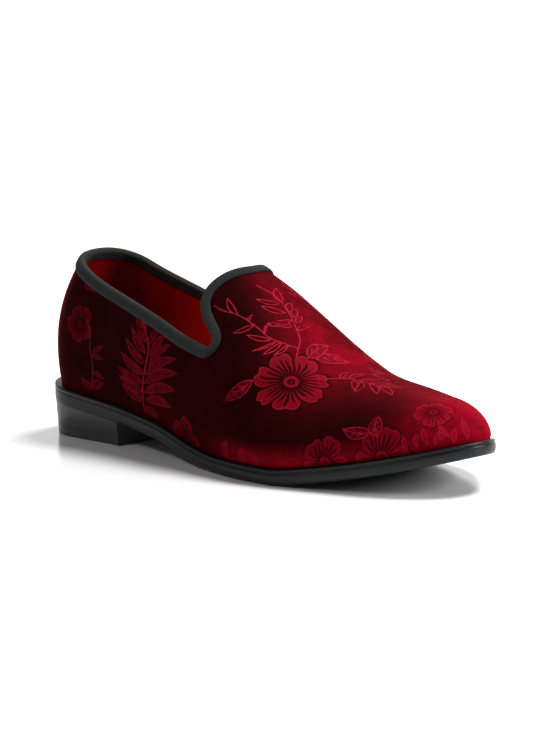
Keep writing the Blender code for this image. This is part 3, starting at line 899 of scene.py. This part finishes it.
def lineGroup():
    # one channel of pressed lines, from the signed offset in half widths
    inputs = {"Side": 9.0, "Near": 9.0, "Tone": 0.0, "Wobble": 0.0}
    tree, given, out = newGroup("pressedLine", inputs, ("Mask",))
    line = ramp(abs(given["Side"]) + given["Wobble"] * 1.1, 0.65, 1.35, 1.0, 0.0)
    feed(line * ramp(given["Near"], 2.4, 3.2, 1.0, 0.0) * given["Tone"], out["Mask"])
    return tree


def velvetMaterial():
    made, tree = newMaterial("pressedVelvet")
    point = objectPoint(tree)
    nap = useGroup(tree, napOfPile, Point=point, CloudScale=38.0, HairScale=1500.0)
    cloud = nap["Cloud"]
    hair = nap["Hair"]
    wobble = noise(point, 420.0, 2.0) - 0.5
    places = {name: attribute(tree, "bloom" + name) for name in ("X", "Y", "Near", "Petals")}
    flowers = useGroup(tree, bloomGroup(), Wobble=wobble, Warp=noise(point, 75.0, 1.0) - 0.5, **places)
    tone = attribute(tree, "bloomTone")
    broken = ramp(noise(point, 300.0, 2.0), 0.30, 0.52, 0.45, 1.0)
    pressedLine = lineGroup()
    line = None
    for channel in range(pattern["channels"]):
        places = {name: attribute(tree, f"line{name}{channel}") for name in ("Side", "Near", "Tone")}
        drawn = useGroup(tree, pressedLine, Wobble=wobble, **places)["Mask"]
        line = drawn if line is None else calc("MAXIMUM", line, drawn)
    line = line * broken
    fill = ramp(attribute(tree, "fill"), -0.45, 0.15, 1.0, 0.0) * attribute(tree, "fillTone") * broken
    pressed = calc("MAXIMUM", calc("MAXIMUM", flowers["Mask"] * tone, line), fill)
    weave = useGroup(tree, threadGrid, Chart=attribute(tree, "clothMm", "Vector"),
                     PitchU=velvet["threadMm"], PitchV=velvet["threadMm"])["Height"]
    strokes = noise(stretched(point, (0.55, 1.0, 1.6)), 150.0, 4.0, 0.65)
    grain = noise(point, 900.0, 2.0, 0.7)
    # painted light and sheen: the pile's colour is lifted towards lit colours by the value painted on the
    # mesh, broken up by clouds, strokes, grain and weave
    paintedShine = attribute(tree, "paintedShine") * ramp(cloud, 0.0, 1.0, 0.78, 1.10)
    paintedShine = paintedShine * ramp(strokes, 0.30, 0.70, 0.74, 1.22) * ramp(grain, 0.30, 0.70, 0.72, 1.24)
    paintedShine = calc("MULTIPLY", paintedShine, ramp(weave, 0.1, 0.9, 0.88, 1.10), clamp=True)
    ground = blendColour(cloud, velvet["ground"], velvet["groundHigh"])
    ground = blendColour(weave * 0.30, ground, velvet["groundHigh"])
    ground = blendColour(paintedShine, ground, velvet["paintedShine"])
    ground = blendColour(flowers["Dark"] * tone * 0.78, ground, velvet["gap"])
    speck = ramp(hair, 0.35, 0.75, 0.72, 1.0)
    # painted light and sheen on the pressed parts too
    flat = blendColour(paintedShine, velvet["pressed"], velvet["pressedPaintedShine"])
    flat = blendColour(ramp(noise(point, 160.0, 3.0), 0.3, 0.7, 0.25, 0.0), flat, velvet["gap"])
    colour = blendColour(pressed * speck, ground, flat)
    drawn = calc("MAXIMUM", line, flowers["Rim"] * tone * broken * 0.45)
    return finishMaterial(made, {
        "Base Color": blendColour(drawn * speck, colour, velvet["line"]),
        "Roughness": velvet["roughness"] - pressed * 0.18,
        "Sheen Weight": velvet["sheen"],
        "Sheen Roughness": velvet["sheenRoughness"],
        "Sheen Tint": velvet["sheenTint"],
        "Specular IOR Level": 0.02,
        "Normal": bump(pressed * -0.5 + hair * 0.35 + weave * 0.25, 0.00035, 0.7),
    })


# Lining and sock
lining = {
    "columns": 120,
    "rows": 40,
    "behindVelvet": 0.00005,
    "low": (0.160, 0.0007, 0.0012, 1),
    "high": (0.240, 0.0009, 0.0015, 1),
    "thread": (0.18, 0.0006, 0.0010, 1),
    # painted light: a brighter red for the lining's walls where light falls into the shoe
    "paintedLiningLight": (0.95, 0.0030, 0.0050, 1),
    "threadMm": 0.7,
    # height above the sole and inset of the sock's rings, from the top
    "sockEdge": ((0.0029, 0.0025), (0.0028, 0.0010), (0.0024, 0.00025), (0.0018, 0.0), (0.0, 0.0)),
    "sockEase": 0.0009,
}


def liningMaterial():
    made, tree = newMaterial("redLining")
    thread = useGroup(tree, threadGrid, Chart=attribute(tree, "clothMm", "Vector"),
                      PitchU=lining["threadMm"], PitchV=lining["threadMm"])["Height"]
    cloud = ramp(noise(objectPoint(tree), 45.0, 3.0), 0.3, 0.7)
    colour = blendColour(thread * 0.25, blendColour(cloud, lining["low"], lining["high"]), lining["thread"])
    return finishMaterial(made, {
        # painted light on the lining's walls
        "Base Color": blendColour(attribute(tree, "paintedLiningLight"), colour, lining["paintedLiningLight"]),
        "Roughness": 0.78,
        "Sheen Weight": 0.15,
        "Sheen Tint": (0.9, 0.02, 0.02, 1),
        "Specular IOR Level": 0.08,
        "Normal": bump(thread, 0.00012, 0.6),
    })


def paintedPileShine(points, normals, xs, acrosses):
    # painted light and sheen: the pile is painted brighter where the cloth turns up and forward towards
    # light from above, along the ridge, and low over the sole where the floor throws light up
    turned = 0.75 * normals[..., 2] + 0.62 * normals[..., 0]
    share = lastShare(xs)
    turned = turned - 0.19 * (1 - ease(0.42, 0.76, share)) + 0.30 * ease(0.80, 1.0, share)
    turned = turned + 0.07 * (1 - ease(0.04, 0.34, np.abs(acrosses)))
    shine = ease(velvet["paintedShineFrom"], velvet["paintedShineTo"], turned) ** 1.9
    above = points[..., 2] - soleTop(xs)
    # painted light from the floor, in a band low over the sole
    low = (1 - ease(0.002, 0.015, above)) * (0.05 + 0.72 * ease(0.50, 0.66, share))
    return np.clip(shine + low, 0, 1)


def makeUpper():
    columns = velvet["columns"]
    rows = velvet["rows"]
    points, normals, xs, acrosses = upperGrid(columns, rows, 5)
    depth = points.shape[1]
    behind = np.unique(np.round(np.linspace(0, depth - 1, velvet["innerRows"])).astype(int))[::-1]
    inside = points[:, behind] - velvet["thickness"] * normals[:, behind]
    rings = np.concatenate([points, inside], axis=1)
    count, ring = rings.shape[:2]
    piece = makeObject("velvet_upper", rings.reshape(-1, 3), ringFaces(count, ring), velvetMaterial())
    pressed = pressPattern(points.reshape(-1, 3), normals.reshape(-1, 3))

    def overRings(values, rest):
        full = np.full((count, ring), rest, float)
        full[:, :depth] = np.asarray(values).reshape(count, depth)
        return full

    for channel in range(pattern["channels"]):
        for name in ("lineSide", "lineNear", "lineTone"):
            rest = 0.0 if name.endswith("Tone") else pattern["far"]
            giveValues(piece, f"{name}{channel}", overRings(getattr(pressed, name)[channel], rest))
    for name in ("fill", "fillTone", "bloomNear", "bloomX", "bloomY", "bloomPetals", "bloomTone"):
        rest = 0.0 if name.endswith("Tone") else pattern["far"]
        giveValues(piece, name, overRings(getattr(pressed, name), rest))
    # painted light and sheen of the pile, carried on the mesh to the material
    giveValues(piece, "paintedShine", overRings(paintedPileShine(points, normals, xs, acrosses), 0.0))
    cloth = np.zeros((count, ring, 2))
    cloth[:, :depth] = clothChart(xs, acrosses)
    giveChart(piece, "clothMm", cloth.reshape(-1, 2))
    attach(piece, "root")
    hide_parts("upper")
    print("velvet upper:", len(piece.data.polygons), "faces")


def makeLining():
    points, normals, xs, acrosses = upperGrid(lining["columns"], lining["rows"], 3)
    outer = points[:, ::-1] - (velvet["thickness"] + lining["behindVelvet"]) * normals[:, ::-1]
    inner = points - last["wall"] * normals
    rings = np.concatenate([inner[:, ::-1], outer[:, ::-1]], axis=1)
    count, ring = rings.shape[:2]
    piece = makeObject("cloth_lining", rings.reshape(-1, 3), ringFaces(count, ring), liningMaterial())
    cloth = clothChart(xs, acrosses)
    full = np.concatenate([cloth[:, ::-1], cloth], axis=1)
    giveChart(piece, "clothMm", full.reshape(-1, 2))
    share = lastShare(xs)
    # painted light: the lining's walls are painted brighter from a tenth to about three fifths of the
    # length, where light falls in at the opening
    paintedLiningLight = ease(0.10, 0.40, share) * (1 - ease(0.50, 0.62, share)) * ease(0.2, 0.6, np.abs(acrosses))
    giveValues(piece, "paintedLiningLight", np.concatenate([paintedLiningLight[:, ::-1], paintedLiningLight], axis=1))
    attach(piece, "root")


# Binding of the collar
binding = {
    "columns": 360,
    "ribMm": 0.95,
    "slant": 0.45,
    "knitMm": 0.8,
    "edgeMm": 7.55,
    "dome": 0.0003,
    "colour": (0.0105, 0.0122, 0.0118, 1),
    "dark": (0.0040, 0.0045, 0.0043, 1),
    "edge": (0.075, 0.040, 0.026, 1),
    "roughness": 0.88,
}


def bindingMaterial():
    made, tree = newMaterial("ribbedTape")
    along, around = splitPoint(attribute(tree, "tapeMm", "Vector"))[:2]
    rib = halfWave(wave("SINE", calc("MULTIPLY_ADD", around, binding["slant"], along), binding["ribMm"]))
    knit = halfWave(wave("SINE", around, binding["knitMm"]))
    speck = ramp(noise(objectPoint(tree), 1700.0, 2.0), 0.35, 0.7)
    height = rib * 0.6 + knit * 0.3 + speck * 0.5
    # painted shade: the tape is darker in the troughs of its ribs and knit; the speckle is the yarn's own
    # tone
    colour = blendColour(calc("MULTIPLY", height, 0.72, clamp=True), binding["dark"], binding["colour"])
    edge = ramp(abs(around - binding["edgeMm"]), 0.14, 0.34, 0.6, 0.0)
    return finishMaterial(made, {
        "Base Color": blendColour(edge, colour, binding["edge"]),
        "Roughness": binding["roughness"],
        "Sheen Weight": 0.07,
        "Sheen Tint": (0.75, 0.8, 0.78, 1),
        "Specular IOR Level": 0.3,
        "Normal": bump(height, 0.0005, 0.9),
    })


def makeBinding():
    # a tape folded over the top edge: a domed outer leg, a round bridge and an inner leg
    columns = binding["columns"] // 2
    points, normals, xs, acrosses = upperGrid(columns, 4, 4)
    top = points[:, -1]
    up = top - points[:, -2]
    up /= np.linalg.norm(up, axis=1, keepdims=True)
    wall = last["wall"]
    near = last["clearance"]
    thick = topEdge["tapeThickness"]
    legs = points[:, -5:]
    legNormals = normals[:, -5:]
    profile = []
    for i in range(5):
        dome = binding["dome"] * math.sin(math.pi * (0.12 + 0.6 * i / 4))
        low = 0.45 if i == 0 else 1.0
        profile.append(legs[:, i] + (near + thick * low + dome * low) * legNormals[:, i])
    outward = normals[:, -1]
    half = wall / 2 + near + thick
    middle = top - wall / 2 * outward
    for step in range(1, 8):
        turn = math.pi * step / 8
        profile.append(middle + half * 1.02 * math.cos(turn) * outward + half * 0.62 * math.sin(turn) * up)
    for i in range(4, -1, -1):
        low = 0.45 if i == 0 else 1.0
        profile.append(legs[:, i] - (wall + near + thick * low) * legNormals[:, i])
    profile.append(legs[:, 0] - (wall + near) * legNormals[:, 0])
    profile.append(top - (wall + near) * outward + near * up)
    profile.append(top + near * outward + near * up)
    profile.append(legs[:, 0] + near * legNormals[:, 0])
    rings = np.stack(profile, axis=1)[:, ::-1]
    count, ring = rings.shape[:2]
    # the rings run from the inner leg outwards, so the faces are turned round
    faces = ringFaces(count, ring)[:, ::-1]
    piece = makeObject("collar_tape", rings.reshape(-1, 3), faces, bindingMaterial())
    alongTop = lengthsOf(np.concatenate([top, top[:1]]))[:-1]
    steps = np.linalg.norm(np.diff(rings, axis=1), axis=2)
    roundTape = np.concatenate([np.zeros((count, 1)), np.cumsum(steps, axis=1)], axis=1)
    roundTape = roundTape[:, -1:] - roundTape
    pairs = np.stack([np.repeat(alongTop[:, None], ring, axis=1), roundTape], -1) * 1000
    giveChart(piece, "tapeMm", pairs.reshape(-1, 2))
    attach(piece, "root")
    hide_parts("collar_binding")
    print("collar tape:", len(piece.data.polygons), "faces")


# Row of stitches that holds the tape's inner leg
stitches = {
    "pitch": 0.0024,
    "length": 0.0015,
    "radius": 0.00022,
    "rise": 0.0010,
    "colour": (0.012, 0.010, 0.010, 1),
}


def stitchTree():
    tree = bpy.data.node_groups.new("stitchRow", "GeometryNodeTree")
    for label, kind in (("Path", "Geometry"), ("Pitch", "Float"), ("Length", "Float"), ("Radius", "Float"),
                        ("Thread", "Material")):
        made = tree.interface.new_socket(name=label, in_out="INPUT", socket_type="NodeSocket" + kind)
        if kind == "Float":
            made.default_value = stitches[label.lower()]
    tree.interface.new_socket(name="Stitches", in_out="OUTPUT", socket_type="NodeSocketGeometry")
    kinds = {
        "given": "NodeGroupInput", "toCurve": "GeometryNodeMeshToCurve",
        "even": "GeometryNodeResampleCurve", "ball": "GeometryNodeMeshUVSphere",
        "half": "ShaderNodeMath", "size": "ShaderNodeCombineXYZ",
        "tangent": "GeometryNodeInputTangent", "turn": "FunctionNodeAlignRotationToVector",
        "place": "GeometryNodeInstanceOnPoints", "real": "GeometryNodeRealizeInstances",
        "dress": "GeometryNodeSetMaterial", "out": "NodeGroupOutput",
    }
    nodes = {name: tree.nodes.new(kind) for name, kind in kinds.items()}
    nodes["even"].mode = "LENGTH"
    nodes["half"].operation = "MULTIPLY"
    nodes["turn"].axis = "Z"
    for name, label, value in (("ball", "Segments", 6), ("ball", "Rings", 5), ("ball", "Radius", 1.0),
                               ("half", 1, 0.5)):
        nodes[name].inputs[label].default_value = value
    for first, output, second, target in (
            ("given", "Path", "toCurve", "Mesh"), ("toCurve", "Curve", "even", "Curve"),
            ("given", "Pitch", "even", "Length"), ("given", "Length", "half", 0),
            ("given", "Radius", "size", "X"), ("given", "Radius", "size", "Y"), ("half", 0, "size", "Z"),
            ("tangent", "Tangent", "turn", "Vector"), ("even", "Curve", "place", "Points"),
            ("ball", "Mesh", "place", "Instance"), ("turn", "Rotation", "place", "Rotation"),
            ("size", "Vector", "place", "Scale"), ("place", "Instances", "real", "Geometry"),
            ("real", "Geometry", "dress", "Geometry"), ("given", "Thread", "dress", "Material"),
            ("dress", "Geometry", "out", "Stitches")):
        tree.links.new(nodes[first].outputs[output], nodes[second].inputs[target])
    return tree


def makeStitches():
    thread, tree = newMaterial("stitchThread")
    finishMaterial(thread, {"Base Color": stitches["colour"], "Roughness": 0.7})
    points, normals, xs, acrosses = upperGrid(binding["columns"] // 2, 4, 4)
    climb = stitches["rise"] / (topEdge["tapeDepth"] / 4)
    leg = points[:, -5] + (points[:, -4] - points[:, -5]) * climb
    depth = last["wall"] + last["clearance"] + topEdge["tapeThickness"] + stitches["radius"] * 0.3
    path = leg - depth * normals[:, -5]
    size = len(path)
    mesh = bpy.data.meshes.new("stitchPath")
    mesh.from_pydata(path.tolist(), [(i, (i + 1) % size) for i in range(size)], [])
    rail = addObject("stitchPath", mesh)
    modifier = rail.modifiers.new("stitchRow", "NODES")
    modifier.node_group = stitchTree()
    for item in modifier.node_group.interface.items_tree:
        if item.item_type == "SOCKET" and item.in_out == "INPUT" and item.name == "Thread":
            modifier[item.identifier] = thread
    evaluated = rail.evaluated_get(bpy.context.evaluated_depsgraph_get())
    made = bpy.data.meshes.new_from_object(evaluated)
    bpy.data.objects.remove(rail)
    made.shade_smooth()
    piece = addObject("collar_stitches", made)
    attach(piece, "root")
    print("stitches:", len(made.polygons), "faces")


# Sole, heel and top lift
sole = {
    "stations": 170,
    # inset in mm and share of the thickness down from the top
    "edge": ((1.40, 0.000), (0.55, 0.000), (0.20, 0.018), (0.03, 0.055), (0.00, 0.095), (0.06, 0.135),
             (0.30, 0.165), (0.62, 0.190), (0.72, 0.225), (0.62, 0.262), (0.34, 0.285), (0.14, 0.320),
             (0.05, 0.380), (0.02, 0.480), (0.04, 0.620), (0.10, 0.740), (0.24, 0.840), (0.48, 0.915),
             (0.82, 0.965), (1.20, 0.990), (1.60, 1.000)),
    "toeUndercutMm": 0.6,
    "toeLipMm": 0.55,
    "grooveStart": 0.16,
    "grooveEnd": 0.42,
    "heelLength": 0.068,
    "heelInset": 0.0003,
    "heelTaper": 0.0008,
    "liftThickness": 0.005,
    "edgeRound": 0.0006,
    "treadPitch": 0.0045,
    "treadWave": 0.012,
    "treadSway": 0.0012,
    "rubber": (0.0085, 0.0090, 0.0102, 1),
    "rubberWorn": (0.0230, 0.0240, 0.0260, 1),
    # painted light: the heel's rubber is the sole's black painted lighter, to lift the floor's shadow at
    # the heel's foot
    "heelBlack": (0.0340, 0.0350, 0.0370, 1),
    "roughness": 0.36,
    "gloss": 0.26,
    "heelRoughness": 0.39,
    "heelGloss": 0.5,
}


def rubberMaterial(name, low, high, roughness, gloss):
    made, tree = newMaterial(name)
    point = objectPoint(tree)
    grain = useGroup(tree, mouldedGrain, Point=point)
    x, y = splitPoint(point)[:2]
    facing = Signal(tree, tree.nodes.new("ShaderNodeNewGeometry").outputs["True Normal"])
    below = ramp(splitPoint(facing)[2], -0.97, -0.90, 1.0, 0.0)
    sway = calc("MULTIPLY_ADD", wave("SINE", y, sole["treadWave"]), sole["treadSway"], x)
    tread = ramp(wave("COSINE", sway, sole["treadPitch"]), 0.2, 0.8, 1.0, 0.0) * below
    return finishMaterial(made, {
        "Base Color": blendColour(grain["Scuff"] * 0.55, low, high),
        "Roughness": calc("MULTIPLY_ADD", grain["Scuff"], 0.10, roughness) + grain["Grain"] * 0.05,
        "Specular IOR Level": gloss,
        "Normal": bump(tread, 0.0008, 0.8, Normal=bump(grain["Grain"], 0.00005, 0.5)),
    })


def roundTrip(out, back):
    # along the lateral side, and back along the medial one
    return np.concatenate([out, back[-2:0:-1]])


def soleRing(xs, insets):
    middle, half = outline(xs, 0.0)
    ring = roundTrip(np.stack([xs, middle - half], -1), np.stack([xs, middle + half], -1))
    along = np.roll(ring, -1, axis=0) - np.roll(ring, 1, axis=0)
    along /= np.linalg.norm(along, axis=1, keepdims=True)
    inward = np.stack([-along[:, 1], along[:, 0]], -1)
    return ring + insets[:, None] * inward


def stackPiece(name, levels, material, sharpDegrees):
    # a closed solid from rings of one size, the top one first
    size = len(levels[0])
    bottom = (len(levels) - 1) * size
    faces = []
    for first in range(0, bottom, size):
        for i in range(size):
            j = (i + 1) % size
            faces.append((first + size + i, first + size + j, first + j, first + i))
    for first, way in ((0, 1), (bottom, -1)):
        for i in range(size // 2):
            quad = (first + i, first + i + 1, first + size - 1 - i, first + (size - i) % size)
            faces.append([corner for k, corner in enumerate(quad) if corner not in quad[:k]][::way])
    piece = makeObject(name, np.concatenate(levels), faces, material)
    piece.data.set_sharp_from_angle(angle=math.radians(sharpDegrees))
    return piece


def makeOutsole(material):
    turn = np.linspace(0, math.pi, sole["stations"] + 1)
    xs = last["length"] * (1 - np.cos(turn)) / 2
    at = roundTrip(xs, xs)
    share = at / last["length"]
    toe = ease(0.90, 1, share)
    groove = ease(sole["grooveStart"], sole["grooveEnd"], share) * (1 - 0.6 * toe)
    overHeel = 1 - ease(sole["heelLength"], sole["heelLength"] + 0.004, at)
    levels = []
    for insetMm, down in sole["edge"]:
        inset = np.full(len(at), insetMm)
        if 0.14 < down < 0.36:
            inset = inset * (0.25 + 0.75 * groove)
        if down > 0.7:
            inset = inset * (1 - 0.85 * overHeel)
        if down < 0.20:
            inset = inset + sole["toeLipMm"] * toe
        inset = (inset + sole["toeUndercutMm"] * toe * down ** 2) / 1000
        ring = soleRing(xs, inset)
        levels.append(world(ring[:, 0], ring[:, 1], soleTop(at) + (soleBottom(at) - soleTop(at)) * down))
    piece = stackPiece("rubber_outsole", levels, material, 60)
    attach(piece, "root")
    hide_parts("outsole")


def heelRing(xs, inset, height):
    middle, half = outline(xs, 0.0)
    half = np.maximum(half - inset, 0)
    size = len(xs) - 1
    lateral = np.stack([xs, middle - half], -1)
    medial = np.stack([xs, middle + half], -1)
    ring = np.concatenate([lateral, medial[size:0:-1]])
    ring[:, 0] += inset * np.clip(1 - ring[:, 0] / last["heelReach"], 0, 1)
    at = np.concatenate([xs, xs[size:0:-1]])
    level = height(at) if callable(height) else np.full(len(at), height)
    return world(ring[:, 0], ring[:, 1], level)


def makeHeelPiece(name, node, levels, material):
    piece = stackPiece(name, levels, material, 50)
    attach(piece, "root")
    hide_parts(node)


def makeHeel(material):
    turn = np.linspace(0, math.pi / 2, 90)
    xs = sole["heelLength"] * (1 - np.cos(turn))
    inset = sole["heelInset"]
    taper = sole["heelTaper"]
    edge = sole["edgeRound"]
    lift = sole["liftThickness"]
    rounded = [(edge * (1 - math.cos(a)), edge * (1 - math.sin(a))) for a in np.radians((90, 60, 30, 0))]
    foot = lift + 0.00005
    low = inset + taper * 0.72
    levels = [heelRing(xs, inset - 0.00004, lambda at: soleBottom(at) + 0.00002)]
    levels.append(heelRing(xs, low, foot + 0.0002))
    levels.append(heelRing(xs, low + 0.00015, foot))
    makeHeelPiece("heel_block", "heel", levels, material)
    levels = [heelRing(xs, low + 0.00015, lift), heelRing(xs, low, lift - 0.0002)]
    for inner, height in rounded[::-1]:
        levels.append(heelRing(xs, inset + taper + inner, height))
    makeHeelPiece("heel_lift", "heel_top_lift", levels, material)


def makeSock(material):
    inset = last["soleMargin"] + last["wall"] + last["clearance"] + lining["sockEase"]
    turn = np.linspace(0, math.pi, 121)
    xs = inset + (last["length"] - 2 * inset) * (1 - np.cos(turn)) / 2
    at = roundTrip(xs, xs)
    middle, half = outline(xs, inset)
    ys = roundTrip(middle - half, middle + half)
    centre = roundTrip(middle, middle)
    bottom = soleTop(at) + last["clearance"]
    shift = backShift(at, 0.0)
    levels = []
    for height, drawn in lining["sockEdge"]:
        keep = 1 - drawn / np.maximum(np.abs(ys - centre), 4 * drawn + 1e-6)
        levels.append(world(at + shift, centre + (ys - centre) * keep, bottom + height))
    piece = stackPiece("sock_insole", levels, material, 60)
    giveChart(piece, "clothMm", np.concatenate(levels)[:, :2] * 1000)
    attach(piece, "root")
    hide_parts("insole")


# Floor, light and camera
studio = {
    "target": (0.0035, 0.0044, 0.0476),
    "azimuth": 46.93,
    "elevation": 9.68,
    "roll": -1.29,
    "distance": 1.7049,
    "lensMm": 161.38,
    "floorSize": 40.0,
    "floorColour": (0.96, 0.96, 0.96, 1),
    "floorRoughness": 0.16,
    "floorGloss": 0.35,
    "sky": 0.11,
    # name, place, target, size and power
    "lamps": (
        ("softboxBack", (-3.65, 3.4, 1.25), (0, 0, 0.1), (8.8, 2.6), 94),
        ("softboxRight", (2.4, 1.2, 1.3), (0.02, 0, 0.05), (1.2, 1.2), 60),
        ("fillLeft", (-0.5, -1.6, 1.9), (-0.03, 0.02, 0.05), (0.5, 0.5), 9),
    ),
    "sunFrom": (0.16, 0.50, 1.12),
    "sunStrength": 3.6,
    "sunSoftness": 20,
}


def makeFloor():
    half = studio["floorSize"] / 2
    corners = [(-half, -half, 0), (half, -half, 0), (half, half, 0), (-half, half, 0)]
    made = finishMaterial(newMaterial("paleFloor")[0], {
        "Base Color": studio["floorColour"],
        "Roughness": studio["floorRoughness"],
        "Specular IOR Level": studio["floorGloss"],
    })
    floorMesh = bpy.data.meshes.new("floor")
    floorMesh.from_pydata(corners, [], [(0, 1, 2, 3)])
    floorMesh.materials.append(made)
    addObject("floor", floorMesh)


def makeSky():
    sky = bpy.data.worlds.new("studio")
    sky.use_nodes = True
    backdrop = sky.node_tree.nodes["Background"]
    backdrop.inputs["Color"].default_value = (1, 1, 1, 1)
    backdrop.inputs["Strength"].default_value = studio["sky"]
    bpy.context.scene.world = sky


def putLamp(data, place, turn):
    lamp = addObject(data.name, data)
    lamp.location = place
    lamp.rotation_euler = turn.to_euler()


def makeLamps():
    for name, place, target, size, power in studio["lamps"]:
        data = bpy.data.lights.new(name, "AREA")
        data.shape = "RECTANGLE"
        data.size, data.size_y = size
        data.energy = power
        putLamp(data, place, (Vector(target) - Vector(place)).to_track_quat("-Z", "Y"))
    data = bpy.data.lights.new("sunTop", "SUN")
    data.energy = studio["sunStrength"]
    data.angle = math.radians(studio["sunSoftness"])
    putLamp(data, studio["sunFrom"], Vector(studio["sunFrom"]).to_track_quat("Z", "Y"))


def makeCamera():
    a = math.radians(studio["azimuth"])
    e = math.radians(studio["elevation"])
    back = Vector((math.sin(a) * math.cos(e), -math.cos(a) * math.cos(e), math.sin(e)))
    right = Vector((math.cos(a), math.sin(a), 0))
    up = back.cross(right)
    turn = math.radians(studio["roll"])
    rolledRight = math.cos(turn) * right + math.sin(turn) * up
    rolledUp = math.cos(turn) * up - math.sin(turn) * right
    data = bpy.data.cameras.new("camera")
    data.lens = studio["lensMm"]
    data.sensor_width = 36
    data.clip_start, data.clip_end = 0.1, 50
    camera = addObject("camera", data)
    axes = Matrix((rolledRight, rolledUp, back)).transposed()
    place = Vector(studio["target"]) + back * studio["distance"]
    camera.matrix_world = Matrix.Translation(place) @ axes.to_4x4()
    bpy.context.scene.camera = camera


makeUpper()
makeLining()
makeBinding()
makeStitches()
worn = sole["rubberWorn"]
makeOutsole(rubberMaterial("soleRubber", sole["rubber"], worn, sole["roughness"], sole["gloss"]))
makeHeel(rubberMaterial("heelRubber", sole["heelBlack"], worn, sole["heelRoughness"], sole["heelGloss"]))
makeSock(liningMaterial())
print("sole, heel and sock made")
makeFloor()
makeSky()
makeLamps()
makeCamera()
bpy.context.scene.view_settings.view_transform = "Standard"
